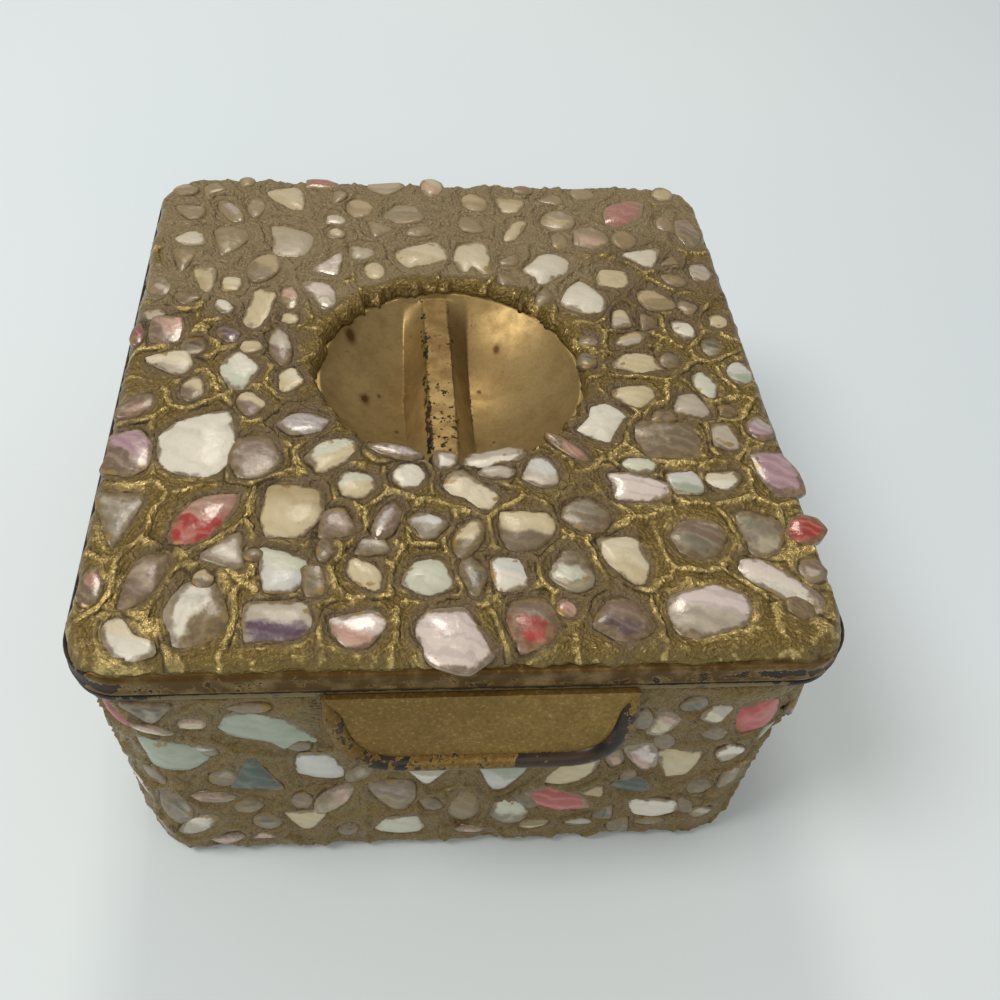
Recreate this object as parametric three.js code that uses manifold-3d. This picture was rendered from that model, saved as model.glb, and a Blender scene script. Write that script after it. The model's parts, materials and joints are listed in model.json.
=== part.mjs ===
// An old pressed-tin box with a lift-off lid. The lid and the sides are coated in
// gold-painted putty that is set all over with broken shell, and the lid has a
// round dish with a finger ridge. Millimetres, +Z up, the front faces -Y, and the
// origin is the middle of the underside.
import * as THREE from "three";
import { mergeVertices } from "three/addons/utils/BufferGeometryUtils.js";
import Module from "manifold-3d";

// Tin: the lid's outline is the widest part of the box
const lidWidth = 105;
const lidDepth = 113;
const lidCorner = 7.6;
const sheet = 0.7;
const edgeRound = 0.8;
const seatHeight = 50.2;
const beadHeight = 1.5;
const beadShy = 0.2;
const neckHeight = 3.1;
const neckClearance = 0.5;
const wallCorner = 9;
const wallTaper = 2.2;
const baseRound = 1.6;
const cornerSteps = 5;
const leastCorner = 0.05;
const roundSteps = 3;
const weld = 1e-4; // points closer than this are one point

// Lid skirt and its rolled hem
const skirtHeight = 4.2;
const hemWidth = 1.6;
const hemHeight = 1.4;

// Dish pressed into the lid, with a ridge to pinch
const dishRadius = 21.4;
const dishDepth = 8.5;
const dishSides = 32;
const dishRings = 6;
const dishAcross = 0.6;
const dishBack = 1;
const ridgeTopWidth = 4.2;
const ridgeFootWidth = 10.5;
const ridgeDrop = 0.4;
const ridgeOffset = -1.8;

// Putty coats
const lidCoat = 2.1;
const lidCoatMargin = 0.9;
const lidCoatSlope = 0.9;
const wallCoat = 1.5;
const wallCoatFoot = 1.8;
const coatSlope = 0.5;
const dishRim = 0.6;
const bond = 0.05; // film between a coat and the sloping tin

// Thumb tab under the skirt, at the front
const tabLeft = -20;
const tabRight = 23.3;
const tabLeftNarrowing = 3.6;
const tabDrop = 12.6;
const tabLean = 2;
const tabProud = 0.5;
const tabSheet = 0.8;
const tabCorner = 5;
const tabRoll = 2.2;
const tabGap = 0.3;
const tabPocket = 0.7; // share of the tab's drop that has a pocket behind it
const tabCurveSides = 5;
const rollSteps = 20;
const rollSides = 6;

// Shell chips
const chipSunk = 0.9;
const chipProud = 0.7;
const socketGap = 0.3;
const chipTaper = 0.86;
const chipLean = 0.03;
const cornerWander = 0.45; // how far a broken corner strays, as a share of its sector
const cornerShortfall = 0.14;
const lidChipSeed = 11;
const frontChipSeed = 29;
const seedStep = 97;

// Further chips, fused to the coats: the largest are laid first
const lidInfill = 60;
const wallInfill = 80;
const infillGap = 0.7;
const infillLargest = 10;
const infillSmallest = 5;
const infillVaries = 1.5;
const infillSlim = 0.55;
const infillStout = 0.9;
const infillFewestCorners = 4;
const infillMoreCorners = 2.4;
const infillTries = 40;
const lidInfillSeed = 4711;
const wallInfillSeed = 815;

const wasm = await Module();
wasm.setup();

const tones = {
  goldPaint: 0x9a8142,
  japan: 0x2a2723,
  white: 0xe4e0d4,
  cream: 0xcfc3a0,
  pearl: 0xe6dfdc,
  lilac: 0xb39aa8,
  rose: 0xc9988c,
  red: 0xa8403c,
  magenta: 0xa04a68,
  purple: 0x6c5062,
  smoke: 0x978979,
  paleBlue: 0xb4bdb8,
  teal: 0x4f6460,
  tan: 0x9c8a64,
};

const finishes = {
  varnish: { roughness: 0.45, metalness: 0.6 },
  lacquer: { roughness: 0.4, metalness: 0.7 },
  putty: { roughness: 0.55, metalness: 0.5 },
  shell: { roughness: 0.25, metalness: 0 },
};

// Named chips: name, place (percent of half the sides, from the middle), length,
// breadth (mm), turn (degrees), corners, tone
const lidChips = [
  ["white_large", -73.5, -28.1, 14.2, 11.8, 70, 7, "white"],
  ["red_left", -68.8, -54.9, 11, 7, 30, 4, "red"],
  ["cream_square", -45.3, -52.7, 10.4, 9.2, 90, 4, "cream"],
  ["rosy_white_front", -3.8, -93.2, 10.8, 9.4, 0, 6, "pearl"],
  ["pearl_front", 62.9, -87.1, 12.3, 8.3, 10, 6, "pearl"],
  ["pearl_stick", 83.8, -78.2, 12.6, 4.8, -42, 6, "pearl"],
  ["red_right", 96, -61.2, 6.2, 5, 0, 6, "red"],
  ["lilac_right", 93.7, -40.9, 9.5, 6, 90, 6, "lilac"],
  ["magenta_back", 69.5, 82.8, 11, 8, 50, 5, "magenta"],
  ["purple_front", -47.2, -87.4, 9, 6, 0, 4, "purple"],
  ["purple_middle", 39.4, -88.5, 7.8, 7.2, 0, 6, "purple"],
  ["redbrown_front", 16.4, -88.8, 8.4, 6.3, 90, 5, "red"],
  ["white_corner", -82.1, -92.6, 8.4, 4.6, -25, 5, "white"],
  ["white_oval", -67, -84.1, 11, 7.3, 85, 7, "white"],
  ["mauve_left", -81.5, -74.9, 9, 5.4, 80, 6, "smoke"],
  ["white_spot", -46.9, -72.2, 7.3, 6.3, 80, 6, "white"],
  ["rose_front", -27.4, -90.6, 7.4, 5.2, 10, 5, "rose"],
  ["pale_half", -9.9, -74.9, 7, 6.6, 0, 5, "white"],
  ["cream_tooth", 43, -70.8, 9, 6.5, -90, 3, "cream"],
  ["smoke_pair", 64.8, -64.6, 7.6, 7.2, 0, 6, "smoke"],
  ["white_star", 44.2, -22.1, 10, 6.5, 60, 4, "white"],
  ["rosy_white", 51.8, -46.5, 9.6, 5.6, -10, 5, "pearl"],
  ["smoke_broad", 64.4, -28.3, 10.2, 7.4, 0, 6, "smoke"],
  ["cream_five", 57.1, -11.5, 7.3, 5, 0, 5, "cream"],
  ["grey_white", 74.3, -14.7, 6, 5.5, 0, 5, "white"],
  ["pearl_left", -92, -33.1, 10, 6.4, 90, 7, "lilac"],
  ["lilac_rim", -43.5, -22.1, 8, 4.6, 5, 6, "lilac"],
  ["white_drop", 47.4, 36.6, 10.8, 8.2, 80, 3, "white"],
  ["white_wedge", 37.5, 50.6, 10.4, 6.8, 45, 5, "white"],
  ["cream_legs", 10.9, 54.3, 10, 6.4, 90, 4, "cream"],
  ["cream_back", -6.9, 55.4, 9.6, 5.6, 25, 4, "cream"],
  ["cream_tall", -54.5, 86.4, 8.5, 6.5, 90, 4, "cream"],
  ["pale_wedge", -47.2, 61.4, 9.5, 8, -60, 3, "white"],
  ["white_west", -63.4, -0.9, 9, 5.8, 90, 5, "white"],
  ["rosy_bump_back", -1, 96, 7, 4.2, 90, 6, "pearl"],
];

// The same for the front: place across in percent of half the width, and up in
// percent of the wall's height
const frontChips = [
  ["pale_large", -49.9, 79.5, 14.8, 10.4, -20, 7, "paleBlue"],
  ["pale_left", -77.1, 65.3, 11, 9.8, -20, 6, "paleBlue"],
  ["teal_wedge", -57.7, 52, 10, 7.8, 90, 3, "teal"],
  ["blue_white", -38.7, 56.1, 8.8, 7.6, 80, 5, "paleBlue"],
  ["white_wedge", -8.6, 49.4, 8, 6.8, -90, 3, "white"],
  ["blue_lilac", 12, 45.1, 10.2, 9.6, -60, 5, "paleBlue"],
  ["cream_pair", 34.3, 45.9, 7.8, 7.2, -30, 4, "cream"],
  ["red_long", 35, 26.1, 12.6, 7, -50, 5, "red"],
  ["white_low", 62, 19, 9.8, 6.6, -25, 5, "white"],
  ["teal_oval", 53.7, 35, 6, 4.8, -20, 6, "teal"],
  ["cream_right", 66.9, 51, 9.2, 6.6, -70, 5, "cream"],
  ["rosy_slant", 52.8, 55, 9, 4.4, -72, 4, "pearl"],
  ["coral_corner", 82.3, 79.2, 9.6, 6.2, -75, 4, "red"],
  ["red_corner", -90.7, 89, 8.6, 3.4, 90, 5, "red"],
  ["white_foot", -16, 10.2, 8.4, 7, 0, 6, "white"],
  ["grey_leaf", 17.7, 18, 9.8, 5.6, -58, 6, "smoke"],
  ["cream_foot", -44.4, 16.3, 6.8, 6.4, 0, 5, "cream"],
  ["tan_tall", 3.4, 21, 11.6, 4.6, 88, 6, "tan"],
];

// Heights and insets that follow from the driving sizes. An inset is measured
// inwards from the lid's outline.
const beadBottom = seatHeight - beadHeight;
const neckInset = hemWidth + neckClearance;
const baseInset = neckInset + wallTaper;
const wallInsetAt = (z) => neckInset + (wallTaper * (beadBottom - z)) / beadBottom;
const halfWidth = lidWidth / 2;
const halfDepth = lidDepth / 2;
const rightAngle = Math.PI / 2;

// Numbers that look random but come out alike on each run
function randomFrom(seed) {
  let state = seed;
  return () => {
    state = (state * 16807) % 2147483647;
    return state / 2147483647;
  };
}

// Outline of a rounded rectangle, anticlockwise, set in from the lid's outline
function outlineAt(inset, radius) {
  const points = [];
  const r = Math.max(radius, leastCorner);
  for (let corner = 0; corner < 4; corner += 1) {
    const sideX = corner === 0 || corner === 3 ? 1 : -1;
    const sideY = corner < 2 ? 1 : -1;
    for (let step = 0; step <= cornerSteps; step += 1) {
      const angle = (corner + step / cornerSteps) * rightAngle;
      points.push(
        new THREE.Vector2(
          sideX * (halfWidth - inset - r) + r * Math.cos(angle),
          sideY * (halfDepth - inset - r) + r * Math.sin(angle),
        ),
      );
    }
  }
  return points;
}

// Skin through a row of [inset, z, corner radius] rings. An open row is closed by a
// flat face at each end, and a ring-shaped row joins its last ring to its first.
function loft(rings, ringShaped) {
  const positions = [];
  const faces = [];
  const count = 4 * (cornerSteps + 1);
  for (const [inset, z, radius] of rings)
    for (const p of outlineAt(inset, radius)) positions.push(p.x, p.y, z);
  const spans = ringShaped ? rings.length : rings.length - 1;
  for (let ring = 0; ring < spans; ring += 1) {
    const here = ring * count;
    const next = ((ring + 1) % rings.length) * count;
    for (let i = 0; i < count; i += 1) {
      const j = (i + 1) % count;
      faces.push(here + i, here + j, next + j, here + i, next + j, next + i);
    }
  }
  if (!ringShaped) {
    const last = (rings.length - 1) * count;
    for (let i = 1; i < count - 1; i += 1) {
      faces.push(0, i + 1, i);
      faces.push(last, last + i, last + i + 1);
    }
  }
  const skin = new THREE.BufferGeometry();
  skin.setAttribute("position", new THREE.Float32BufferAttribute(positions, 3));
  skin.setIndex(faces);
  return skin;
}

// Rings of a quarter round between a vertical and a level stretch, both moving on
function quarterRound(inset, z, radius, size, from, to, rise) {
  const rings = [];
  for (let step = 0; step <= roundSteps; step += 1) {
    const angle = from + ((to - from) * step) / roundSteps;
    const inward = size * (1 - Math.cos(angle));
    rings.push([inset + inward, z + rise * size * Math.sin(angle), radius - inward]);
  }
  return rings;
}

function solidOf(geometry) {
  const bare = geometry.clone();
  bare.deleteAttribute("normal");
  bare.deleteAttribute("uv");
  const merged = mergeVertices(bare, weld);
  return new wasm.Manifold(
    new wasm.Mesh({
      numProp: 3,
      vertProperties: merged.attributes.position.array,
      triVerts: new Uint32Array(merged.index.array),
    }),
  );
}

function geometryOf(solid) {
  const mesh = solid.getMesh();
  const geometry = new THREE.BufferGeometry();
  const positions = new Float32Array(mesh.vertProperties);
  geometry.setAttribute("position", new THREE.BufferAttribute(positions, 3));
  geometry.setIndex(new THREE.BufferAttribute(new Uint32Array(mesh.triVerts), 1));
  geometry.computeVertexNormals();
  return geometry;
}

function named(name, geometry, tone, finish) {
  const material = new THREE.MeshStandardMaterial({ color: tones[tone], ...finishes[finish] });
  const mesh = new THREE.Mesh(geometry, material);
  mesh.name = name;
  return mesh;
}

// Body: an open tray with tapered walls, a folded bead for the lid to rest on, and
// a neck that stands up inside the lid
function bodyGeometry() {
  const neckCorner = lidCorner - neckInset;
  const beadCorner = lidCorner - beadShy;
  const floorRound = baseRound - sheet;
  const foot = quarterRound(baseInset, baseRound, wallCorner, baseRound, rightAngle, 0, -1);
  const floor = quarterRound(baseInset, baseRound, wallCorner, floorRound, 0, rightAngle, -1);
  return loft([
    ...foot,
    [neckInset, beadBottom, wallCorner],
    [beadShy, beadBottom, beadCorner],
    [beadShy, seatHeight, beadCorner],
    [neckInset, seatHeight, neckCorner],
    [neckInset, seatHeight + neckHeight, neckCorner],
    [neckInset + sheet, seatHeight + neckHeight, neckCorner - sheet],
    [neckInset + sheet, seatHeight - sheet, neckCorner - sheet],
    [neckInset + sheet, beadBottom, wallCorner - sheet],
    ...floor.map(([inset, z, radius]) => [inset + sheet, z, radius - sheet]),
  ]);
}

// Lid: plate, skirt and rolled hem, then the dish and its ridge, pressed from the
// same sheet. Its z is measured from the seat.
function lidGeometry() {
  const shoulder = skirtHeight - edgeRound;
  const innerCorner = lidCorner - sheet;
  const innerRound = edgeRound - sheet / 2;
  const outer = quarterRound(0, shoulder, lidCorner, edgeRound, 0, rightAngle, 1);
  const inner = quarterRound(sheet, shoulder, innerCorner, innerRound, rightAngle, 0, 1);
  const hemLip = hemWidth / 4;
  const underside = skirtHeight - sheet;
  const shell = loft([
    ...inner.map(([inset, z, radius]) => [inset, Math.min(z, underside), radius]),
    [sheet, hemHeight, innerCorner],
    [hemWidth, hemHeight, lidCorner - hemWidth],
    [hemWidth, hemLip, lidCorner - hemWidth],
    [hemWidth - hemLip, 0, lidCorner - hemWidth + hemLip],
    [hemLip, 0, lidCorner - hemLip],
    [0, hemLip, lidCorner],
    ...outer,
  ]);
  return solidOf(shell).add(dish(sheet, false)).subtract(dish(0, true)).subtract(ridge(sheet));
}

// The dish as a spherical bowl: its hollow, or with the sheet's thickness around it
function dish(thickness, hollow) {
  const ball = (dishRadius ** 2 + dishDepth ** 2) / (2 * dishDepth);
  const reach = Math.asin(dishRadius / ball);
  const middle = skirtHeight - dishDepth + ball;
  const profile = [];
  for (let step = 0; step <= dishRings; step += 1) {
    const angle = (reach * step) / dishRings;
    const r = ball + thickness;
    profile.push(new THREE.Vector2(r * Math.sin(angle), middle - r * Math.cos(angle)));
  }
  const top = hollow ? skirtHeight + dishDepth : skirtHeight - sheet / 2;
  profile.push(new THREE.Vector2(profile[dishRings].x, top));
  profile.push(new THREE.Vector2(0, top));
  const turned = new THREE.LatheGeometry(profile, dishSides);
  turned.rotateX(Math.PI / 2);
  turned.translate(dishAcross, dishBack, 0);
  return hollow ? solidOf(turned).subtract(ridge(0)) : solidOf(turned);
}

// The ridge across the dish, or the hollow under it when a thickness is given
function ridge(thickness) {
  const top = skirtHeight - ridgeDrop - thickness;
  const foot = skirtHeight - dishDepth - 3 * sheet;
  const topHalf = ridgeTopWidth / 2 - thickness;
  const footHalf = ridgeFootWidth / 2 - thickness;
  const shape = new THREE.Shape();
  shape.moveTo(-footHalf, foot);
  shape.lineTo(footHalf, foot);
  shape.lineTo(topHalf, top);
  shape.lineTo(-topHalf, top);
  shape.closePath();
  const length = 2 * dishRadius + 2 * sheet;
  const bar = new THREE.ExtrudeGeometry(shape, { depth: length, bevelEnabled: false });
  bar.rotateX(Math.PI / 2);
  bar.translate(dishAcross + ridgeOffset, dishBack + length / 2, 0);
  return solidOf(bar);
}

// Broken chip seen from above: an irregular outline of the given length and breadth
function chipOutline(length, breadth, corners, random) {
  const points = [];
  for (let i = 0; i < corners; i += 1) {
    const angle = ((i + cornerWander * (random() - 0.5)) / corners) * 2 * Math.PI;
    const reach = 1 - cornerShortfall * random();
    points.push(new THREE.Vector2(reach * Math.cos(angle), reach * Math.sin(angle)));
  }
  const box = new THREE.Box2().setFromPoints(points);
  const middle = box.getCenter(new THREE.Vector2());
  const size = box.getSize(new THREE.Vector2());
  return points.map((p) => {
    const centred = p.clone().sub(middle);
    return centred.set((centred.x * length) / size.x, (centred.y * breadth) / size.y);
  });
}

const moved = (outline, turn, x, y) =>
  outline.map((p) =>
    p.clone().rotateAround(new THREE.Vector2(), turn).add(new THREE.Vector2(x, y)),
  );

// The outline with each edge moved outwards
function grown(outline, by) {
  const edges = outline.map((p, i) => {
    const q = outline[(i + 1) % outline.length];
    const along = q.clone().sub(p).normalize();
    return { along, offset: new THREE.Vector2(along.y, -along.x).multiplyScalar(by).add(p) };
  });
  return edges.map((edge, i) => {
    const before = edges[(i + edges.length - 1) % edges.length];
    const gap = edge.offset.clone().sub(before.offset);
    const share = gap.cross(edge.along) / before.along.cross(edge.along);
    return before.offset.clone().addScaledVector(before.along, share);
  });
}

// True if two outlines with straight sides stay apart by the gap
function apart(one, other, gap) {
  const clearOf = (a, b) =>
    a.some((p, i) => {
      const along = a[(i + 1) % a.length].clone().sub(p).normalize();
      const out = new THREE.Vector2(along.y, -along.x);
      return b.every((q) => q.clone().sub(p).dot(out) > gap);
    });
  return clearOf(one, other) || clearOf(other, one);
}

// A chip as a solid: it narrows to its top face, which leans a little
function chipGeometry(outline, sunk, proud, lean) {
  const shape = new THREE.Shape(outline);
  const chip = new THREE.ExtrudeGeometry(shape, { depth: sunk + proud, bevelEnabled: false });
  chip.translate(0, 0, -sunk);
  const position = chip.attributes.position;
  for (let i = 0; i < position.count; i += 1) {
    if (position.getZ(i) < 0) continue;
    const x = position.getX(i) * chipTaper;
    const y = position.getY(i) * chipTaper;
    position.setXYZ(i, x, y, position.getZ(i) + lean * (x + y));
  }
  return chip;
}

function socketFor(outline) {
  const shape = new THREE.Shape(grown(outline, socketGap));
  const depth = chipSunk + 2 * lidCoat + socketGap;
  const socket = new THREE.ExtrudeGeometry(shape, { depth, bevelEnabled: false });
  socket.translate(0, 0, -chipSunk - socketGap);
  return socket;
}

// Where a chip sits on the lid's coat
function lidPlace(x, y) {
  return new THREE.Matrix4().makeTranslation(x, y, skirtHeight + lidCoat);
}

// Where a chip sits on the wall's coat: a run along the outline from the middle of
// the front, and a height
function wallPlace(run, z) {
  const inset = wallInsetAt(z) - wallCoat;
  const radius = wallCorner + wallCoat;
  const straightX = 2 * (halfWidth - inset - radius);
  const straightY = 2 * (halfDepth - inset - radius);
  const arc = radius * rightAngle;
  const lengths = [straightX, arc, straightY, arc, straightX, arc, straightY, arc];
  const round = lengths.reduce((sum, length) => sum + length, 0);
  let left = (((run + straightX / 2) % round) + round) % round;
  let corner = new THREE.Vector2(-straightX / 2, -straightY / 2 - radius);
  let heading = 0;
  for (const [i, length] of lengths.entries()) {
    const forward = new THREE.Vector2(Math.cos(heading), Math.sin(heading));
    const outward = new THREE.Vector2(forward.y, -forward.x);
    const curved = i % 2 === 1;
    if (left <= length || i === lengths.length - 1) {
      const turned = curved ? left / radius : 0;
      const centre = corner.clone().addScaledVector(outward, -radius);
      const spoke = outward.clone().rotateAround(new THREE.Vector2(), turned);
      const point = curved
        ? centre.addScaledVector(spoke, radius)
        : corner.clone().addScaledVector(forward, left);
      return facing(point, heading + turned, z);
    }
    left -= length;
    if (curved) {
      corner = corner.clone().addScaledVector(outward, -radius).addScaledVector(forward, radius);
      heading += rightAngle;
    } else {
      corner = corner.clone().addScaledVector(forward, length);
    }
  }
  return null;
}

// Frame on the wall: X along it, Y up it, Z out of it, tipped by the taper
function facing(point, heading, z) {
  const tip = Math.atan2(wallTaper, beadBottom);
  const along = new THREE.Vector3(Math.cos(heading), Math.sin(heading), 0);
  const flat = new THREE.Vector3(along.y, -along.x, 0);
  const down = new THREE.Vector3(0, 0, -Math.sin(tip));
  const out = flat.clone().multiplyScalar(Math.cos(tip)).add(down);
  const up = new THREE.Vector3().crossVectors(out, along);
  return new THREE.Matrix4().makeBasis(along, up, out).setPosition(point.x, point.y, z);
}

// Fills a sheet with further chips, the larger ones first, clear of those laid
function infill(laid, count, width, height, allowed, random) {
  const chips = [];
  const tries = infillTries * count;
  const falling = infillLargest - infillSmallest;
  for (let attempt = 0; attempt < tries && chips.length < count; attempt += 1) {
    const length = infillLargest - (falling * attempt) / tries - infillVaries * random();
    const breadth = length * (infillSlim + (infillStout - infillSlim) * random());
    const corners = infillFewestCorners + Math.floor(infillMoreCorners * random());
    const outline = chipOutline(length, breadth, corners, random);
    const x = (random() - 0.5) * width;
    const y = (random() - 0.5) * height;
    const turned = moved(outline, Math.PI * random(), x, y);
    if (!turned.every(allowed)) continue;
    if (!laid.every((other) => apart(turned, other, infillGap))) continue;
    laid.push(turned);
    chips.push({ x, y, outline: moved(turned, 0, -x, -y), lean: chipLean * (random() - 0.5) });
  }
  return chips;
}

// The named chips with their places, outlines and leans
function laidChips(rows, acrossUnit, upUnit, seed) {
  return rows.map(([name, across, up, length, breadth, turn, corners, tone], i) => {
    const random = randomFrom(seed + seedStep * i);
    const outline = chipOutline(length, breadth, corners, random);
    const turned = moved(outline, THREE.MathUtils.degToRad(turn), 0, 0);
    const lean = chipLean * (random() - 0.5);
    return { name, tone, x: across * acrossUnit, y: up * upUnit, outline: turned, lean };
  });
}

// Fixes further chips to a coat, then cuts the sockets of the named ones
function setChips(coat, further, chips, place) {
  let solid = coat;
  for (const chip of further) {
    const geometry = chipGeometry(chip.outline, chipSunk / 2, chipProud, chip.lean);
    solid = solid.add(solidOf(geometry.applyMatrix4(place(chip.x, chip.y))));
  }
  for (const chip of chips)
    solid = solid.subtract(solidOf(socketFor(chip.outline).applyMatrix4(place(chip.x, chip.y))));
  const bodies = solid.decompose();
  bodies.sort((a, b) => b.volume() - a.volume());
  return geometryOf(bodies[0]);
}

function chipMeshes(prefix, chips, place) {
  return chips.map((chip) => {
    const geometry = chipGeometry(chip.outline, chipSunk, chipProud, chip.lean);
    const mesh = named(prefix + chip.name, geometry, chip.tone, "shell");
    mesh.applyMatrix4(place(chip.x, chip.y));
    return mesh;
  });
}

// Coat on the lid: a slab with sloping edges and a round hole over the dish
function lidCoatSolid() {
  const low = skirtHeight;
  const high = skirtHeight + lidCoat;
  const slab = loft([
    [lidCoatMargin, low, lidCorner - lidCoatMargin],
    [lidCoatMargin + lidCoatSlope / 4, high - lidCoatSlope, lidCorner - lidCoatMargin],
    [lidCoatMargin + lidCoatSlope, high, lidCorner - lidCoatMargin],
  ]);
  const hole = new THREE.LatheGeometry(
    [
      new THREE.Vector2(0, low - lidCoat),
      new THREE.Vector2(dishRadius + dishRim / 2, low - lidCoat),
      new THREE.Vector2(dishRadius + dishRim / 2, high - dishRim),
      new THREE.Vector2(dishRadius + 2 * dishRim, high + lidCoat),
      new THREE.Vector2(0, high + lidCoat),
    ],
    dishSides,
  );
  hole.rotateX(Math.PI / 2);
  hole.translate(dishAcross, dishBack, 0);
  return solidOf(slab).subtract(solidOf(hole));
}

// Coat on the walls: a band right round, with a pocket behind the tab's upper part
function wallCoatSolid() {
  const outerCorner = wallCorner + wallCoat;
  const foot = wallCoatFoot;
  const band = loft(
    [
      [wallInsetAt(foot) - bond, foot, wallCorner + bond],
      [wallInsetAt(foot) - wallCoat + coatSlope, foot, outerCorner - coatSlope],
      [wallInsetAt(foot + coatSlope) - wallCoat, foot + coatSlope, outerCorner],
      [neckInset - wallCoat, beadBottom, outerCorner],
      [neckInset - bond, beadBottom, wallCorner + bond],
    ],
    true,
  );
  const back = halfDepth + tabProud - tabSheet / 2 - tabRoll / 2 - tabGap;
  const reach = halfDepth;
  const pocket = new THREE.BoxGeometry(
    tabRight - tabLeft + tabRoll + 2 * tabGap,
    reach,
    2 * tabPocket * tabDrop,
  );
  pocket.translate((tabLeft + tabRight) / 2, -back - reach / 2, beadBottom);
  const slot = new THREE.BoxGeometry(
    tabRight - tabLeft + 2 * tabGap,
    reach,
    2 * (tabSheet + tabGap),
  );
  slot.translate((tabLeft + tabRight) / 2, -halfDepth + neckInset - bond - reach / 2, beadBottom);
  return solidOf(band).subtract(solidOf(pocket)).subtract(solidOf(slot));
}

// Tab: a sheet with a rolled edge on three sides, held by a flange under the bead.
// Drawn flat, X across and Y up to the bead, then leaned outwards.
function tabGeometry() {
  const half = (tabRight - tabLeft) / 2;
  const leftFoot = -half + tabLeftNarrowing;
  const corner = Math.min(tabCorner, tabDrop / 2);
  const edge = [
    new THREE.Vector2(-half, 0),
    new THREE.Vector2(leftFoot, -tabDrop),
    new THREE.Vector2(half, -tabDrop),
    new THREE.Vector2(half, 0),
  ];
  const near = (from, to) =>
    from.clone().addScaledVector(to.clone().sub(from).normalize(), corner);
  const shape = new THREE.Shape();
  const rail = new THREE.CurvePath();
  const flat = (p) => new THREE.Vector3(p.x, p.y, 0);
  const rollStart = edge[0].clone().lerp(edge[1], tabRoll / tabDrop);
  const rollEnd = edge[3].clone().lerp(edge[2], tabRoll / tabDrop);
  const bends = [
    [near(edge[1], edge[0]), edge[1], near(edge[1], edge[2])],
    [near(edge[2], edge[1]), edge[2], near(edge[2], edge[3])],
  ];
  shape.moveTo(edge[0].x, edge[0].y);
  let last = rollStart;
  for (const [into, over, outOf] of bends) {
    shape.lineTo(into.x, into.y);
    shape.quadraticCurveTo(over.x, over.y, outOf.x, outOf.y);
    rail.add(new THREE.LineCurve3(flat(last), flat(into)));
    rail.add(new THREE.QuadraticBezierCurve3(flat(into), flat(over), flat(outOf)));
    last = outOf;
  }
  shape.lineTo(edge[3].x, edge[3].y);
  rail.add(new THREE.LineCurve3(flat(last), flat(rollEnd)));
  const plate = new THREE.ExtrudeGeometry(shape, {
    depth: tabSheet,
    bevelEnabled: false,
    curveSegments: tabCurveSides,
  });
  plate.translate(0, 0, -tabSheet / 2);
  const wire = new THREE.Shape();
  wire.absarc(0, 0, tabRoll / 2, 0, 2 * Math.PI);
  const roll = new THREE.ExtrudeGeometry(wire, {
    extrudePath: rail,
    steps: rollSteps,
    curveSegments: rollSides,
    bevelEnabled: false,
  });
  const leaned = new THREE.Matrix4()
    .makeTranslation((tabLeft + tabRight) / 2, -halfDepth - tabProud, beadBottom - tabSheet / 2)
    .multiply(new THREE.Matrix4().makeRotationX(Math.PI / 2 - Math.atan2(tabLean, tabDrop)));
  const depth = neckInset + tabProud + tabSheet / 2 - bond;
  const flange = new THREE.BoxGeometry(2 * half, depth, tabSheet);
  flange.translate(
    (tabLeft + tabRight) / 2,
    -halfDepth + neckInset - bond - depth / 2,
    beadBottom - tabSheet / 2,
  );
  return geometryOf(
    solidOf(plate.applyMatrix4(leaned))
      .add(solidOf(roll.applyMatrix4(leaned)))
      .add(solidOf(flange)),
  );
}

// The laid chips on each sheet, with the edges that further chips keep to
const lidLaid = laidChips(lidChips, halfWidth / 100, halfDepth / 100, lidChipSeed);
const frontLaid = laidChips(frontChips, halfWidth / 100, beadBottom / 100, frontChipSeed);
const straightWalls = 2 * (lidWidth + lidDepth) - 8 * (neckInset + wallCorner);
const roundTheWall = straightWalls + 2 * Math.PI * wallCorner;

const onLid = (p) => {
  const edge = lidCoatMargin + lidCoatSlope;
  const awayFromDish = Math.hypot(p.x - dishAcross, p.y - dishBack) > dishRadius + 2 * dishRim;
  return awayFromDish && Math.abs(p.x) < halfWidth - edge && Math.abs(p.y) < halfDepth - edge
    && Math.abs(p.x) + Math.abs(p.y) < halfWidth + halfDepth - lidCorner;
};
const onWall = (p) => {
  const middle = beadBottom / 2 + p.y;
  const besideTab = p.x < tabLeft - tabRoll || p.x > tabRight + tabRoll;
  const behindTab = middle > beadBottom - tabDrop && !besideTab;
  return middle > wallCoatFoot + coatSlope && middle < beadBottom - coatSlope && !behindTab;
};
const outlines = (chips, drop) => chips.map((c) => moved(c.outline, 0, c.x, c.y - drop));

const lidFurther = infill(
  outlines(lidLaid, 0),
  lidInfill,
  lidWidth,
  lidDepth,
  onLid,
  randomFrom(lidInfillSeed),
);
const wallFurther = infill(
  outlines(frontLaid, beadBottom / 2),
  wallInfill,
  roundTheWall,
  beadBottom,
  onWall,
  randomFrom(wallInfillSeed),
).map((chip) => ({ ...chip, y: chip.y + beadBottom / 2 }));

const body = new THREE.Group();
body.add(named("tin_body", bodyGeometry(), "japan", "varnish"));
body.add(named("front_tab", tabGeometry(), "goldPaint", "lacquer"));
body.add(
  named(
    "body_putty",
    setChips(wallCoatSolid(), wallFurther, frontLaid, wallPlace),
    "goldPaint",
    "putty",
  ),
);
body.add(...chipMeshes("front_chip_", frontLaid, wallPlace));

const lid = new THREE.Group();
lid.position.z = seatHeight;
lid.add(named("tin_lid", geometryOf(lidGeometry()), "goldPaint", "lacquer"));
lid.add(
  named(
    "lid_putty",
    setChips(lidCoatSolid(), lidFurther, lidLaid, lidPlace),
    "goldPaint",
    "putty",
  ),
);
lid.add(...chipMeshes("lid_chip_", lidLaid, lidPlace));

const box = new THREE.Group();
box.add(body, lid);
export default box;
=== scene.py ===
import json
import math

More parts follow.
